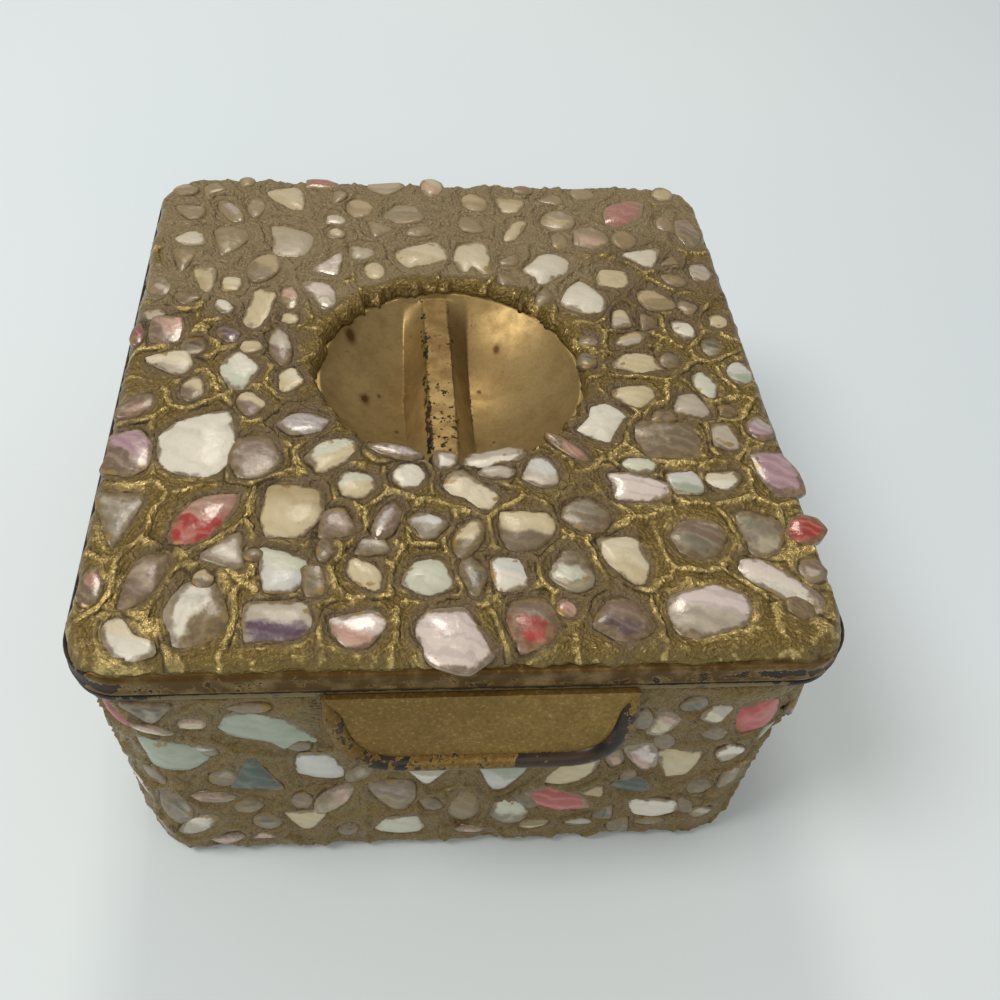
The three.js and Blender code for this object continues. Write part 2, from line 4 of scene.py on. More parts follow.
import bmesh
import bpy
import numpy as np
from mathutils import Matrix, Vector

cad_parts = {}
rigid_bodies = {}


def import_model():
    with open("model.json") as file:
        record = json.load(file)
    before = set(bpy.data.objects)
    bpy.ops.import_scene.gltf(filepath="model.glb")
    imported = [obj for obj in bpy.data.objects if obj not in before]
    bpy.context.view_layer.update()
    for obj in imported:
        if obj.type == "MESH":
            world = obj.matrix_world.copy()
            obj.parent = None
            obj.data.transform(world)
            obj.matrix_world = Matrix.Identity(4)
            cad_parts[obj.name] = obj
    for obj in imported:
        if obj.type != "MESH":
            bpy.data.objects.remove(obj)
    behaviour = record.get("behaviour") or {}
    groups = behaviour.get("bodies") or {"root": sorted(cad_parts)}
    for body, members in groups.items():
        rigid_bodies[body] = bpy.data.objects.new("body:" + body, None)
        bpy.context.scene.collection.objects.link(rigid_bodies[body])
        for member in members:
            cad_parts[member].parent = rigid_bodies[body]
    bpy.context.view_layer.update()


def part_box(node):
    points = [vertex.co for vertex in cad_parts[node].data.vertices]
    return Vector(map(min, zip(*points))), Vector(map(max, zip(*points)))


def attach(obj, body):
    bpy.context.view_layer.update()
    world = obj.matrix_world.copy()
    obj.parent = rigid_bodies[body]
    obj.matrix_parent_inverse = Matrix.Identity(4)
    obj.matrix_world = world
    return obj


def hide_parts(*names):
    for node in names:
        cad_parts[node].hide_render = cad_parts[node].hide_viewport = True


# An old pressed-tin box, painted gold. Its lid and walls are coated in putty that is
# set with broken shell. Sizes here are in millimetres; the meshes are in metres.
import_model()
mm = 0.001


# ---- small helpers ----
def boxOf(node):
    low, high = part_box(node)
    return np.array(low) / mm, np.array(high) / mm


def linear(hexColour):
    channels = [int(hexColour[i:i + 2], 16) / 255 for i in (1, 3, 5)]
    return [c / 12.92 if c <= 0.04045 else ((c + 0.055) / 1.055) ** 2.4 for c in channels] + [1.0]


def addNode(tree, kind, settings=None, inputs=None, links=None):
    node = tree.nodes.new(kind)
    for key, value in (settings or {}).items():
        setattr(node, key, value)
    for key, value in (inputs or {}).items():
        node.inputs[key].default_value = value
    for key, socket in (links or {}).items():
        tree.links.new(socket, node.inputs[key])
    return node


def noiseField(u, v, cell, seed, roundTrip=None):
    # smooth random heights from 0 to 1; a round trip makes them meet where u comes round again
    table = np.random.default_rng(seed).random((256, 256))
    cells = 256 if roundTrip is None else max(1, round(roundTrip / cell))
    a = u / cell if roundTrip is None else u / roundTrip * cells
    b = v / cell
    i, j = np.floor(a).astype(int), np.floor(b).astype(int)
    s, t = a - i, b - j
    s, t = s * s * (3 - 2 * s), t * t * (3 - 2 * t)
    left, right, low, high = i % cells % 256, (i + 1) % cells % 256, j % 256, (j + 1) % 256
    near = table[left, low] * (1 - s) + table[right, low] * s
    far = table[left, high] * (1 - s) + table[right, high] * s
    return near * (1 - t) + far * t


def smoothStep(low, high, x):
    t = np.clip((x - low) / (high - low), 0, 1)
    return t * t * (3 - 2 * t)


def meshPiece(name, points, faces, attributes=None, sharpAngle=None):
    mesh = bpy.data.meshes.new(name)
    mesh.from_pydata((np.asarray(points) * mm).tolist(), [], faces)
    mesh.validate()
    for key, values in (attributes or {}).items():
        values = np.asarray(values, np.float32)
        kind = {1: "FLOAT", 3: "FLOAT_VECTOR", 4: "FLOAT_COLOR"}[1 if values.ndim == 1 else values.shape[1]]
        slot = mesh.attributes.new(key, kind, "POINT")
        slot.data.foreach_set({"FLOAT": "value", "FLOAT_VECTOR": "vector", "FLOAT_COLOR": "color"}[kind], values.ravel())
    mesh.shade_smooth()
    if sharpAngle is not None:
        mesh.set_sharp_from_angle(angle=math.radians(sharpAngle))
    piece = bpy.data.objects.new(name, mesh)
    bpy.context.scene.collection.objects.link(piece)
    return piece


def gridFaces(rows, count, closeRows=False):
    # quads between rings of the same count, each ring closed on itself
    spans = rows if closeRows else rows - 1
    i = np.arange(count)
    j = (i + 1) % count
    faces = []
    for row in range(spans):
        here, there = row * count, (row + 1) % rows * count
        faces.append(np.stack([here + i, here + j, there + j, there + i], 1))
    return np.concatenate(faces).tolist()


# ---- the box's driving sizes, from the frame ----
lidLow, lidHigh = boxOf("tin_lid")
lidCoatLow, lidCoatHigh = boxOf("lid_putty")
bodyLow, bodyHigh = boxOf("tin_body")
tabLow, tabHigh = boxOf("front_tab")

tin = {
    "halfWidth": (lidHigh[0] - lidLow[0]) / 2,
    "halfDepth": (lidHigh[1] - lidLow[1]) / 2,
    "plateTop": lidHigh[2],
    "sheet": 0.7,
    "lidCorner": 7.6,
    "edgeRound": 0.9,
    "seat": 50.2,
    "beadHeight": 1.5,
    "beadShy": 0.2,
    "neckHeight": 3.1,
    "neckInset": 2.1,
    "wallCorner": 9.0,
    "wallTaper": 2.2,
    "baseRound": 1.6,
    "hemWidth": 1.6,
    "hemHeight": 1.4,
}
dish = {"radius": 21.4, "depth": 8.5, "x": 0.6, "y": 1.0, "rimRound": 0.7}
ridge = {"x": -1.2, "topWidth": 4.2, "footWidth": 11.2, "drop": 0.4, "hollow": 0.85}
coat = {"lidTop": 56.5, "lidEdge": 0.75, "wall": 1.5, "foot": 0.7, "top": 48.6, "bondDepth": 0.1,
        "swell": 0.4, "frontSwell": 1.3, "swellTop": 30}


def wallInset(z):
    # inwards from the lid's outline, for the tin wall at height z
    run = tin["seat"] - tin["beadHeight"]
    return tin["neckInset"] + tin["wallTaper"] * (run - z) / run


def outlineLengths(inset, corner):
    straightX = 2 * (tin["halfWidth"] - inset - corner)
    straightY = 2 * (tin["halfDepth"] - inset - corner)
    arc = corner * math.pi / 2
    return straightX, straightY, arc


def perimeter(inset, corner):
    straightX, straightY, arc = outlineLengths(inset, corner)
    return 2 * straightX + 2 * straightY + 4 * arc


def alongOutline(run, inset, corner):
    # place and outward direction on a rounded rectangle, a run from the middle of its front
    run, inset, corner = np.broadcast_arrays(*(np.asarray(a, float) for a in (run, inset, corner)))
    straightX, straightY, arc = outlineLengths(inset, corner)
    whole = 2 * straightX + 2 * straightY + 4 * arc
    left = np.mod(run + straightX / 2, whole)
    place = np.zeros(run.shape + (2,))
    outward = np.zeros(run.shape + (2,))
    reachX, reachY = straightX / 2, straightY / 2
    starts = [(-1, -1), (1, -1), (1, 1), (-1, 1)]
    todo = np.ones(run.shape, bool)
    for side in range(4):
        heading = side * math.pi / 2
        forward = np.array([math.cos(heading), math.sin(heading)])
        out = np.array([forward[1], -forward[0]])
        length = straightX if side % 2 == 0 else straightY
        start = np.stack([starts[side][0] * reachX, starts[side][1] * reachY], -1)
        hit = todo & (left <= length)
        straight = start + out * corner[..., None] + forward * left[..., None]
        place[hit], outward[hit] = straight[hit], out
        todo &= ~hit
        left = np.where(todo, left - length, left)
        hit = todo & (left <= arc + 1e-9)
        angle = left / corner
        turned = out * np.cos(angle)[..., None] + forward * np.sin(angle)[..., None]
        centre = start + forward * np.asarray(length)[..., None]
        curved = centre + turned * corner[..., None]
        place[hit], outward[hit] = curved[hit], turned[hit]
        todo &= ~hit
        left = np.where(todo, left - arc, left)
    return place, outward


wallRound = perimeter(wallInset(tin["seat"] - tin["beadHeight"]) - coat["wall"], tin["wallCorner"] + coat["wall"])


def swellAt(run, z):
    # the coat was laid on thicker low down, most of all in front
    low = 1 - smoothStep(4, coat["swellTop"], z)
    front = 1 - smoothStep(tin["halfWidth"] - 8, tin["halfWidth"] + 2, np.abs(run))
    return low * (coat["swell"] + coat["frontSwell"] * front)


def wallPoint(run, z, out):
    # a point off the wall coat's face; the run is scaled so that it is the same round every height
    run, z, out = np.broadcast_arrays(*(np.asarray(a, float) for a in (run, z, out)))
    out = out + swellAt(run, z) * smoothStep(-coat["wall"], -0.6, out)
    inset = wallInset(z) - coat["wall"]
    corner = np.full(z.shape, tin["wallCorner"] + coat["wall"])
    place, outward = alongOutline(run * perimeter(inset, corner) / wallRound, inset, corner)
    return np.concatenate([place + outward * out[..., None], z[..., None]], -1)


def lidPoint(x, y, out):
    x, y, out = np.broadcast_arrays(*(np.asarray(a, float) for a in (x, y, out)))
    return np.stack([x, y, coat["lidTop"] + out], -1)


# ---- chips of shell: their forms, places and tones ----
# Corners of each broken form in a box from -1 to 1, anticlockwise
chipForms = {
    "boulder": ((.6, 1), (0, .9), (-.6, .63), (-1, .15), (-.85, -.52), (-.42, -1), (.46, -.93), (.85, -.6), (.97, 0), (.88, .67)),
    "slant": ((.95, 1), (.1, .95), (-.5, .6), (-.9, -.1), (-1, -1), (-.2, -.95), (.35, -.6), (.8, .1)),
    "square": ((.95, .8), (-.9, 1), (-.95, 0), (-.8, -1), (.3, -.9), (1, -.2)),
    "block": ((.85, .9), (-.9, 1), (-1, -.1), (-.8, -1), (.75, -1), (1, -.2)),
    "hexagon": ((.45, 1), (-.5, .85), (-1, .5), (-.9, 0), (-.55, -.7), (.4, -1), (1, -.35), (.7, .4)),
    "cut": ((.4, 1), (0, .8), (-.9, .4), (-1, -.2), (-.85, -.85), (-.5, -1), (.7, -.6), (1, 0), (.85, .6)),
    "stick": ((.9, .8), (-.2, .85), (-.8, .9), (-1, .2), (-.9, -.7), (-.5, -1), (0, -.65), (.6, -1), (1, -.5)),
    "tooth": ((.9, 1), (-1, .95), (-.7, .1), (.1, -1), (.65, -.95), (1, -.1)),
    "drop": ((.05, 1), (-.4, .55), (-1, -.45), (-.8, -.8), (.2, -1), (.9, -.7), (.95, -.15), (.35, .75)),
    "oval": ((.1, 1), (-.6, .7), (-1, 0), (-.75, -.6), (-.1, -1), (.6, -.75), (1, -.05), (.75, .65)),
    "ovalCut": ((.45, 1), (-.75, .8), (-1, -.15), (-.5, -1), (.35, -.9), (1, -.2)),
    "ovalBroken": ((.2, 1), (-.85, .75), (-.8, -.2), (-1, -.7), (.1, -1), (.9, -.6), (1, .3)),
    "ovalPointed": ((0, 1), (-.8, .45), (-1, -.4), (-.3, -1), (.75, -.85), (1, .1)),
    "longLeaf": ((-.5, 1), (-1, .25), (-.65, -.5), (.1, -1), (1, -.55), (.45, .35)),
    "star": ((.35, 1), (-.25, .9), (-.4, .3), (-1, -.3), (-.2, -.75), (.2, -1), (.65, -.05), (1, .4)),
    "five": ((.85, 1), (-.9, .9), (-1, .1), (-.4, -.75), (.2, -1), (1, .2)),
    "roof": ((.3, 1), (-.7, 1), (-.9, .3), (-1, -.6), (.2, -1), (1, -.8)),
    "legs": ((.7, 1), (-.7, .95), (-.95, .5), (-1, 0), (-.6, -.8), (-.3, -1), (.1, -.5), (.6, -1), (1, -.9), (1, .8)),
    "wedge": ((-.4, 1), (-1, .85), (-.85, 0), (-.7, -.95), (.3, -1), (.9, -.3), (1, .45)),
    "wing": ((-.2, 1), (-.9, .7), (-1, .1), (-.4, -.85), (.1, -1), (1, .1)),
    "leaf": ((.4, .9), (-.3, .8), (-1, 0), (-.4, -.9), (.5, -.7), (1, .1)),
    "triangle": ((.1, 1), (-.1, .95), (-1, -.85), (-.9, -1), (.9, -1), (1, -.8)),
    "down": ((1, 1), (-.95, 1), (-1, .8), (-.1, -1), (.15, -.95), (1, .7)),
    "trapeze": ((.55, 1), (-.5, .85), (-1, -1), (1, -.9)),
    "dome": ((.2, 1), (-.4, .9), (-.85, .1), (-1, -.35), (0, -1), (.85, -.75), (1, -.35), (.65, .8)),
    "sliver": ((.5, .8), (-.5, .7), (-1, 0), (-.4, -.8), (.6, -.7), (1, .1)),
    "crescent": ((-.7, 1), (-1, .4), (-.8, -.3), (-.2, -1), (.6, -.8), (1, -.1), (.7, .35), (0, .3)),
    "slope": ((-.6, 1), (-1, .2), (-.7, -.4), (.1, -.6), (.35, -1), (.8, -.5), (1, -.7), (.7, .1), (.3, .7)),
}

# sRGB colours of the shell. The last letters of a tone's slot say what the record calls it.
chipTones = {
    "white": ("#dedacb", "shell_white", "opaque"),
    "greenWhite": ("#c9ccb8", "shell_white", "opaque"),
    "blueWhite": ("#cbcdc6", "shell_white", "opaque"),
    "greyWhite": ("#b3aa98", "shell_white", "opaque"),
    "cream": ("#c9bb96", "shell_cream", "opaque"),
    "warmCream": ("#b5a37a", "shell_cream", "opaque"),
    "paleCream": ("#d6ccb0", "shell_cream", "opaque"),
    "pearl": ("#dccfc8", "shell_pearl", "nacre"),
    "rosyPearl": ("#d8cac6", "shell_pearl", "nacre"),
    "lilac": ("#ad8c98", "shell_lilac", "nacre"),
    "paleLilac": ("#b0a8a6", "shell_lilac", "nacre"),
    "rose": ("#ab8272", "shell_rose", "nacre"),
    "blush": ("#c29c8c", "shell_rose", "nacre"),
    "red": ("#a8352f", "shell_red", "nacre"),
    "coral": ("#b23f3c", "shell_red", "opaque"),
    "darkRed": ("#98283a", "shell_red", "opaque"),
    "magenta": ("#a53c5c", "shell_magenta", "nacre"),
    "purple": ("#553a50", "shell_purple", "nacre"),
    "plum": ("#5f4a4c", "shell_purple", "nacre"),
    "mauve": ("#7b6554", "shell_smoke", "clear"),
    "smoke": ("#75654c", "shell_smoke", "clear"),
    "grey": ("#847b66", "shell_smoke", "clear"),
    "slate": ("#565442", "shell_smoke", "clear"),
    "brown": ("#4a3820", "shell_smoke", "clear"),
    "paleBlue": ("#a0aa98", "shell_pale_blue", "opaque"),
    "teal": ("#45544b", "shell_teal", "opaque"),
    "tan": ("#8f7b55", "shell_tan", "opaque"),
    "olive": ("#75633d", "shell_tan", "clear"),
    "amber": ("#86693a", "shell_tan", "clear"),
}

# Named chips of the lid: size across, size back, turn, form, tone and the tone of its front part
lidNamed = {
    "white_large": (11.8, 13.6, 0, "boulder", "white", "white"),
    "red_left": (9.4, 9.6, 0, "slant", "rose", "red"),
    "cream_square": (8.6, 10.6, 0, "square", "warmCream", "cream"),
    "rosy_white_front": (10.7, 9.8, 0, "hexagon", "rosyPearl", "pearl"),
    "pearl_front": (11.8, 8.6, 0, "cut", "rosyPearl", "greyWhite"),
    "pearl_stick": (13.4, 4.6, -42, "stick", "pearl", "white"),
    "red_right": (6.2, 5, 0, "oval", "red", "red"),
    "lilac_right": (6, 9.5, 12, "block", "lilac", "lilac"),
    "magenta_back": (7.2, 10.4, -38, "leaf", "magenta", "magenta"),
    "purple_front": (8.6, 6.2, 0, "block", "greyWhite", "purple"),
    "purple_middle": (8, 7.6, 0, "dome", "mauve", "plum"),
    "redbrown_front": (6.8, 8.8, 0, "ovalCut", "mauve", "red"),
    "white_corner": (8.6, 5.6, -25, "crescent", "paleCream", "white"),
    "white_oval": (8.2, 11.4, 0, "ovalCut", "olive", "white"),
    "mauve_left": (5.6, 9.4, 0, "slant", "mauve", "mauve"),
    "white_spot": (6.6, 7.4, 0, "wedge", "greenWhite", "blueWhite"),
    "rose_front": (7.4, 5.4, 5, "five", "rosyPearl", "blush"),
    "pale_half": (7.2, 6.8, 0, "dome", "greenWhite", "greenWhite"),
    "cream_tooth": (6.5, 8.8, 0, "tooth", "paleCream", "cream"),
    "smoke_pair": (7.6, 7.6, 0, "oval", "mauve", "grey"),
    "white_star": (9.4, 9.4, 0, "star", "white", "white"),
    "rosy_white": (9.6, 5.8, -8, "wedge", "pearl", "pearl"),
    "smoke_broad": (10.2, 7.6, 0, "block", "smoke", "smoke"),
    "cream_five": (7.3, 5.2, 0, "five", "cream", "cream"),
    "grey_white": (6, 5.6, 0, "roof", "greyWhite", "greyWhite"),
    "pearl_left": (6.5, 9.8, 0, "ovalBroken", "lilac", "mauve"),
    "lilac_rim": (8.2, 4.8, 5, "leaf", "paleLilac", "paleLilac"),
    "white_drop": (8, 10.8, 0, "drop", "white", "white"),
    "white_wedge": (10.4, 6.8, 45, "ovalBroken", "white", "white"),
    "cream_legs": (6.4, 10, 0, "legs", "paleCream", "paleCream"),
    "cream_back": (9.4, 5.8, 22, "block", "paleCream", "cream"),
    "cream_tall": (6.4, 8.6, 15, "tooth", "paleCream", "cream"),
    "pale_wedge": (8.4, 9.8, 0, "wedge", "greyWhite", "greyWhite"),
    "white_west": (6.2, 9, 0, "wing", "white", "greenWhite"),
    "rosy_bump_back": (4.4, 7, 0, "oval", "paleCream", "blush"),
}

# The same on the front: size along the wall, size up it
frontNamed = {
    "pale_large": (15.2, 11.2, -8, "slope", "paleBlue", "paleBlue"),
    "pale_left": (11, 10, 0, "wedge", "paleBlue", "paleBlue"),
    "teal_wedge": (8, 10, 0, "triangle", "teal", "teal"),
    "blue_white": (8, 8.8, 0, "roof", "blueWhite", "blueWhite"),
    "white_wedge": (8, 6.8, 0, "down", "greyWhite", "white"),
    "blue_lilac": (9.8, 10, 0, "down", "paleBlue", "blueWhite"),
    "cream_pair": (7.8, 7.4, 0, "slant", "cream", "cream"),
    "red_long": (13.2, 7, -12, "longLeaf", "red", "coral"),
    "white_low": (9.8, 6.4, -25, "leaf", "white", "white"),
    "teal_oval": (6.4, 4.8, -30, "oval", "teal", "teal"),
    "cream_right": (6.6, 9.2, 15, "wedge", "cream", "cream"),
    "rosy_slant": (4.8, 9.4, 18, "tooth", "pearl", "blush"),
    "coral_corner": (6.4, 9.4, 12, "block", "coral", "coral"),
    "red_corner": (4.6, 8.2, 12, "ovalPointed", "darkRed", "darkRed"),
    "white_foot": (8.4, 7, 0, "dome", "greenWhite", "greenWhite"),
    "grey_leaf": (9.8, 5.6, -58, "leaf", "greenWhite", "grey"),
    "cream_foot": (6.6, 6.4, 0, "down", "cream", "cream"),
    "tan_tall": (4.6, 11.6, 2, "oval", "tan", "tan"),
}

# Further chips of the lid: x, y, size across, size back, turn, form, tone, tone in front
lidFurther = (
    (-29.6, -19.6, 8, 9, 0, "oval", "mauve", "mauve"), (-18.4, -19, 8.6, 5.4, 40, "oval", "greenWhite", "cream"),
    (-14.8, -25, 5.6, 5.8, 30, "oval", "greenWhite", "cream"), (-7, -23.7, 4.8, 5.2, 0, "oval", "white", "white"),
    (1.9, -26.7, 8.6, 4.6, -40, "stick", "paleCream", "paleCream"), (-9, -18.6, 9, 2.2, -15, "sliver", "paleLilac", "mauve"),
    (-1.4, -20.4, 3.2, 3.4, 0, "square", "greyWhite", "white"), (-47.8, -31.9, 6.6, 9.6, 0, "down", "grey", "grey"),
    (-31.9, -36.9, 6.4, 6.2, -20, "triangle", "grey", "greyWhite"), (-17.7, -32.6, 5.6, 5, 10, "trapeze", "mauve", "mauve"),
    (-10.4, -32.5, 8.4, 3, 68, "sliver", "paleLilac", "mauve"), (-12.5, -36.9, 5, 2.8, 0, "trapeze", "greyWhite", "grey"),
    (-4.4, -33.3, 6, 5, 0, "wing", "blueWhite", "grey"), (-13.6, -41.9, 7, 3.8, -58, "leaf", "cream", "cream"),
    (-49.4, -43.3, 3, 6.8, 0, "oval", "rose", "mauve"), (-48.6, -9, 7, 3.6, 40, "sliver", "mauve", "rose"),
    (-30.9, -8.3, 4.6, 5.6, 0, "wing", "cream", "mauve"), (-44.5, 0.8, 6.8, 5.4, 20, "tooth", "paleCream", "greyWhite"),
    (-25.2, -2.9, 4.6, 5.6, -20, "wing", "paleCream", "cream"), (-40.4, -4.9, 3.4, 6, 0, "oval", "cream", "smoke"),
    (6.1, -19.9, 9.6, 3, 14, "stick", "greyWhite", "white"), (6, -23.1, 6, 2, 0, "sliver", "greyWhite", "greyWhite"),
    (12.4, -22.9, 5.6, 6.6, 0, "dome", "blueWhite", "greyWhite"), (17.4, -17.9, 9, 1.9, -43, "sliver", "rose", "rose"),
    (42.2, -3.4, 3.4, 6.4, 12, "oval", "greenWhite", "greenWhite"), (42.8, -15.6, 4.2, 5.4, 0, "roof", "greyWhite", "greyWhite"),
    (48.9, -13.4, 3.8, 5.6, 0, "oval", "paleLilac", "lilac"), (27.8, -21.8, 5.6, 2.8, -10, "sliver", "greenWhite", "greenWhite"),
    (34.5, -25.2, 4.8, 4.8, 10, "block", "blueWhite", "paleBlue"), (40.5, -25, 5.4, 4, 0, "five", "paleCream", "white"),
    (18.4, -31.4, 7.6, 6.6, -10, "oval", "grey", "smoke"), (9.5, -34.4, 7.8, 7.4, 0, "square", "cream", "smoke"),
    (1.1, -35.6, 6.4, 5, 30, "slant", "cream", "olive"), (6.3, -42, 4.8, 6, 5, "block", "blueWhite", "white"),
    (14.7, -41.4, 6.2, 8, 0, "dome", "smoke", "greenWhite"), (43.6, -35.2, 6.6, 8.4, 0, "wedge", "grey", "grey"),
    (49.2, -42, 4, 4.6, 0, "oval", "mauve", "greyWhite"), (1.4, -42.4, 3.8, 7.2, 0, "wing", "slate", "slate"),
    (13.4, -47.9, 2.4, 3, 0, "oval", "blush", "rose"), (31.1, 25.1, 5.8, 5.2, -10, "block", "cream", "cream"),
    (38.4, 30.9, 7.4, 4.8, 15, "down", "white", "white"), (28.8, 37.6, 7, 6.6, 0, "oval", "mauve", "blush"),
    (23.2, 43.6, 6.8, 6.8, 0, "oval", "grey", "warmCream"), (35.3, 37.2, 4.6, 5.4, 0, "oval", "amber", "amber"),
    (14.6, 39.2, 3.2, 7, -15, "slant", "cream", "cream"), (14.5, 48.2, 5.4, 5.4, 0, "wedge", "warmCream", "cream"),
    (7.6, 49, 5, 7, 10, "oval", "warmCream", "tan"), (45.7, 53, 4.2, 5, 0, "oval", "cream", "cream"),
    (48, 27.2, 4.2, 5, 0, "oval", "paleLilac", "greyWhite"), (48.1, 13, 3, 3, 0, "oval", "cream", "cream"),
    (41.5, 11, 5.6, 3.4, -58, "oval", "white", "white"), (31.5, 7.8, 6.2, 2.4, 25, "sliver", "warmCream", "greyWhite"),
    (30.7, 13.6, 3.4, 5.4, 0, "trapeze", "cream", "greyWhite"), (31.7, 1.6, 9, 4.8, 0, "dome", "cream", "cream"),
    (38.2, 18.8, 6.2, 6.4, 20, "roof", "warmCream", "tan"), (48.7, -0.6, 4.2, 6, 0, "oval", "blueWhite", "paleBlue"),
    (48.2, 40, 4.6, 9.6, 0, "oval", "plum", "brown"), (-19.2, 28.8, 4.8, 7.4, -25, "triangle", "pearl", "rosyPearl"),
    (-20.9, 19.8, 4.6, 8.8, 25, "wedge", "pearl", "greyWhite"), (-11.9, 26.4, 3.6, 5, 15, "oval", "cream", "cream"),
    (-14, 31.6, 4.4, 3.8, 0, "square", "greyWhite", "greyWhite"), (-19, 42.2, 3.6, 3.2, 0, "oval", "pearl", "white"),
    (-18.8, 37.8, 3.2, 2.8, 0, "oval", "paleCream", "cream"), (-45, 35.4, 5.6, 4.6, 0, "dome", "white", "white"),
    (-38.6, 44.2, 9, 2.8, -58, "sliver", "paleLilac", "mauve"), (-41.5, 23.2, 4, 6.8, 0, "tooth", "cream", "warmCream"),
    (-31.5, 15.4, 4, 10, -14, "block", "cream", "cream"), (-31.4, 27, 5.6, 9.4, -12, "oval", "warmCream", "smoke"),
    (-45.5, 28.6, 3.8, 6.6, 0, "down", "amber", "olive"), (-36.5, 22.2, 3, 3.4, 0, "block", "paleCream", "cream"),
    (-37.4, 15.7, 4.6, 2.2, -60, "sliver", "white", "white"), (-27.3, 5.3, 3.4, 9.2, 10, "oval", "greyWhite", "mauve"),
    (-31.9, 5.5, 3.8, 3.2, 0, "oval", "cream", "warmCream"), (-46.1, 9.5, 5.4, 6.8, 0, "block", "blush", "mauve"),
    (-50.6, 8.4, 1.8, 5.6, 0, "oval", "magenta", "magenta"), (-35.7, 8.4, 3.6, 4.6, 20, "wing", "purple", "plum"),
    (-41.2, 5.4, 4, 4.6, 0, "oval", "brown", "smoke"), (-21.9, 54.2, 6.6, 3, 0, "oval", "magenta", "darkRed"),
    (-9.6, 53, 7.4, 3.8, 0, "five", "greyWhite", "grey"), (-36.2, 54.4, 2.8, 3, 0, "oval", "slate", "slate"),
    (-26.3, 18.4, 3, 6.4, 10, "oval", "blush", "tan"), (-26.2, 12.8, 2.8, 2.4, 0, "oval", "cream", "cream"),
    (-48.6, 21.2, 3.8, 5.4, 0, "oval", "smoke", "greyWhite"), (17.5, 53.4, 4, 2.6, 0, "oval", "darkRed", "plum"),
    (-48.6, 13.6, 3.8, 2.2, 0, "oval", "greyWhite", "greyWhite"), (44.6, -9.6, 3, 2.6, 0, "oval", "amber", "olive"),
    (-35, -42.2, 2.4, 3, 0, "oval", "warmCream", "smoke"), (44, 42.4, 3, 5, 0, "oval", "mauve", "mauve"),
    (29.6, 52.6, 5.4, 3.6, 0, "oval", "tan", "grey"), (22.8, 36.2, 2.8, 5, 0, "oval", "amber", "tan"),
    (-47.6, 51.6, 4.6, 3.8, 0, "oval", "greyWhite", "mauve"), (-14.6, 46, 5, 6.6, 15, "oval", "warmCream", "tan"),
    (-6.5, 44.5, 8, 7, 0, "dome", "slate", "smoke"), (-43.6, 18, 4.6, 3, 0, "wing", "olive", "olive"),
    (24.2, 7.6, 3, 3, 0, "oval", "amber", "warmCream"), (42.4, 24.8, 5, 3, -30, "sliver", "amber", "tan"),
    (-3.4, 38.6, 5.6, 2.6, 20, "sliver", "smoke", "tan"), (6.6, 41.2, 4.6, 5.4, 0, "roof", "smoke", "olive"),
    (23.3, 2.6, 3, 4, 0, "oval", "slate", "smoke"), (37.3, 2.4, 3.2, 3.4, 0, "oval", "grey", "smoke"),
    (45.4, 6, 3.6, 4.6, 0, "oval", "slate", "grey"), (43.4, 16.6, 3.6, 4, 0, "wing", "smoke", "tan"),
    (33.6, -10.8, 4.2, 2.6, 0, "trapeze", "smoke", "olive"), (-28.6, -38.4, 2.4, 2, 0, "oval", "grey", "olive"),
    (-19, -37.4, 2.2, 4, 0, "oval", "slate", "grey"), (-20.4, -42.8, 2.8, 5, 10, "block", "smoke", "smoke"),
    (45.6, -48.6, 4.2, 2.8, -40, "sliver", "smoke", "olive"),
)

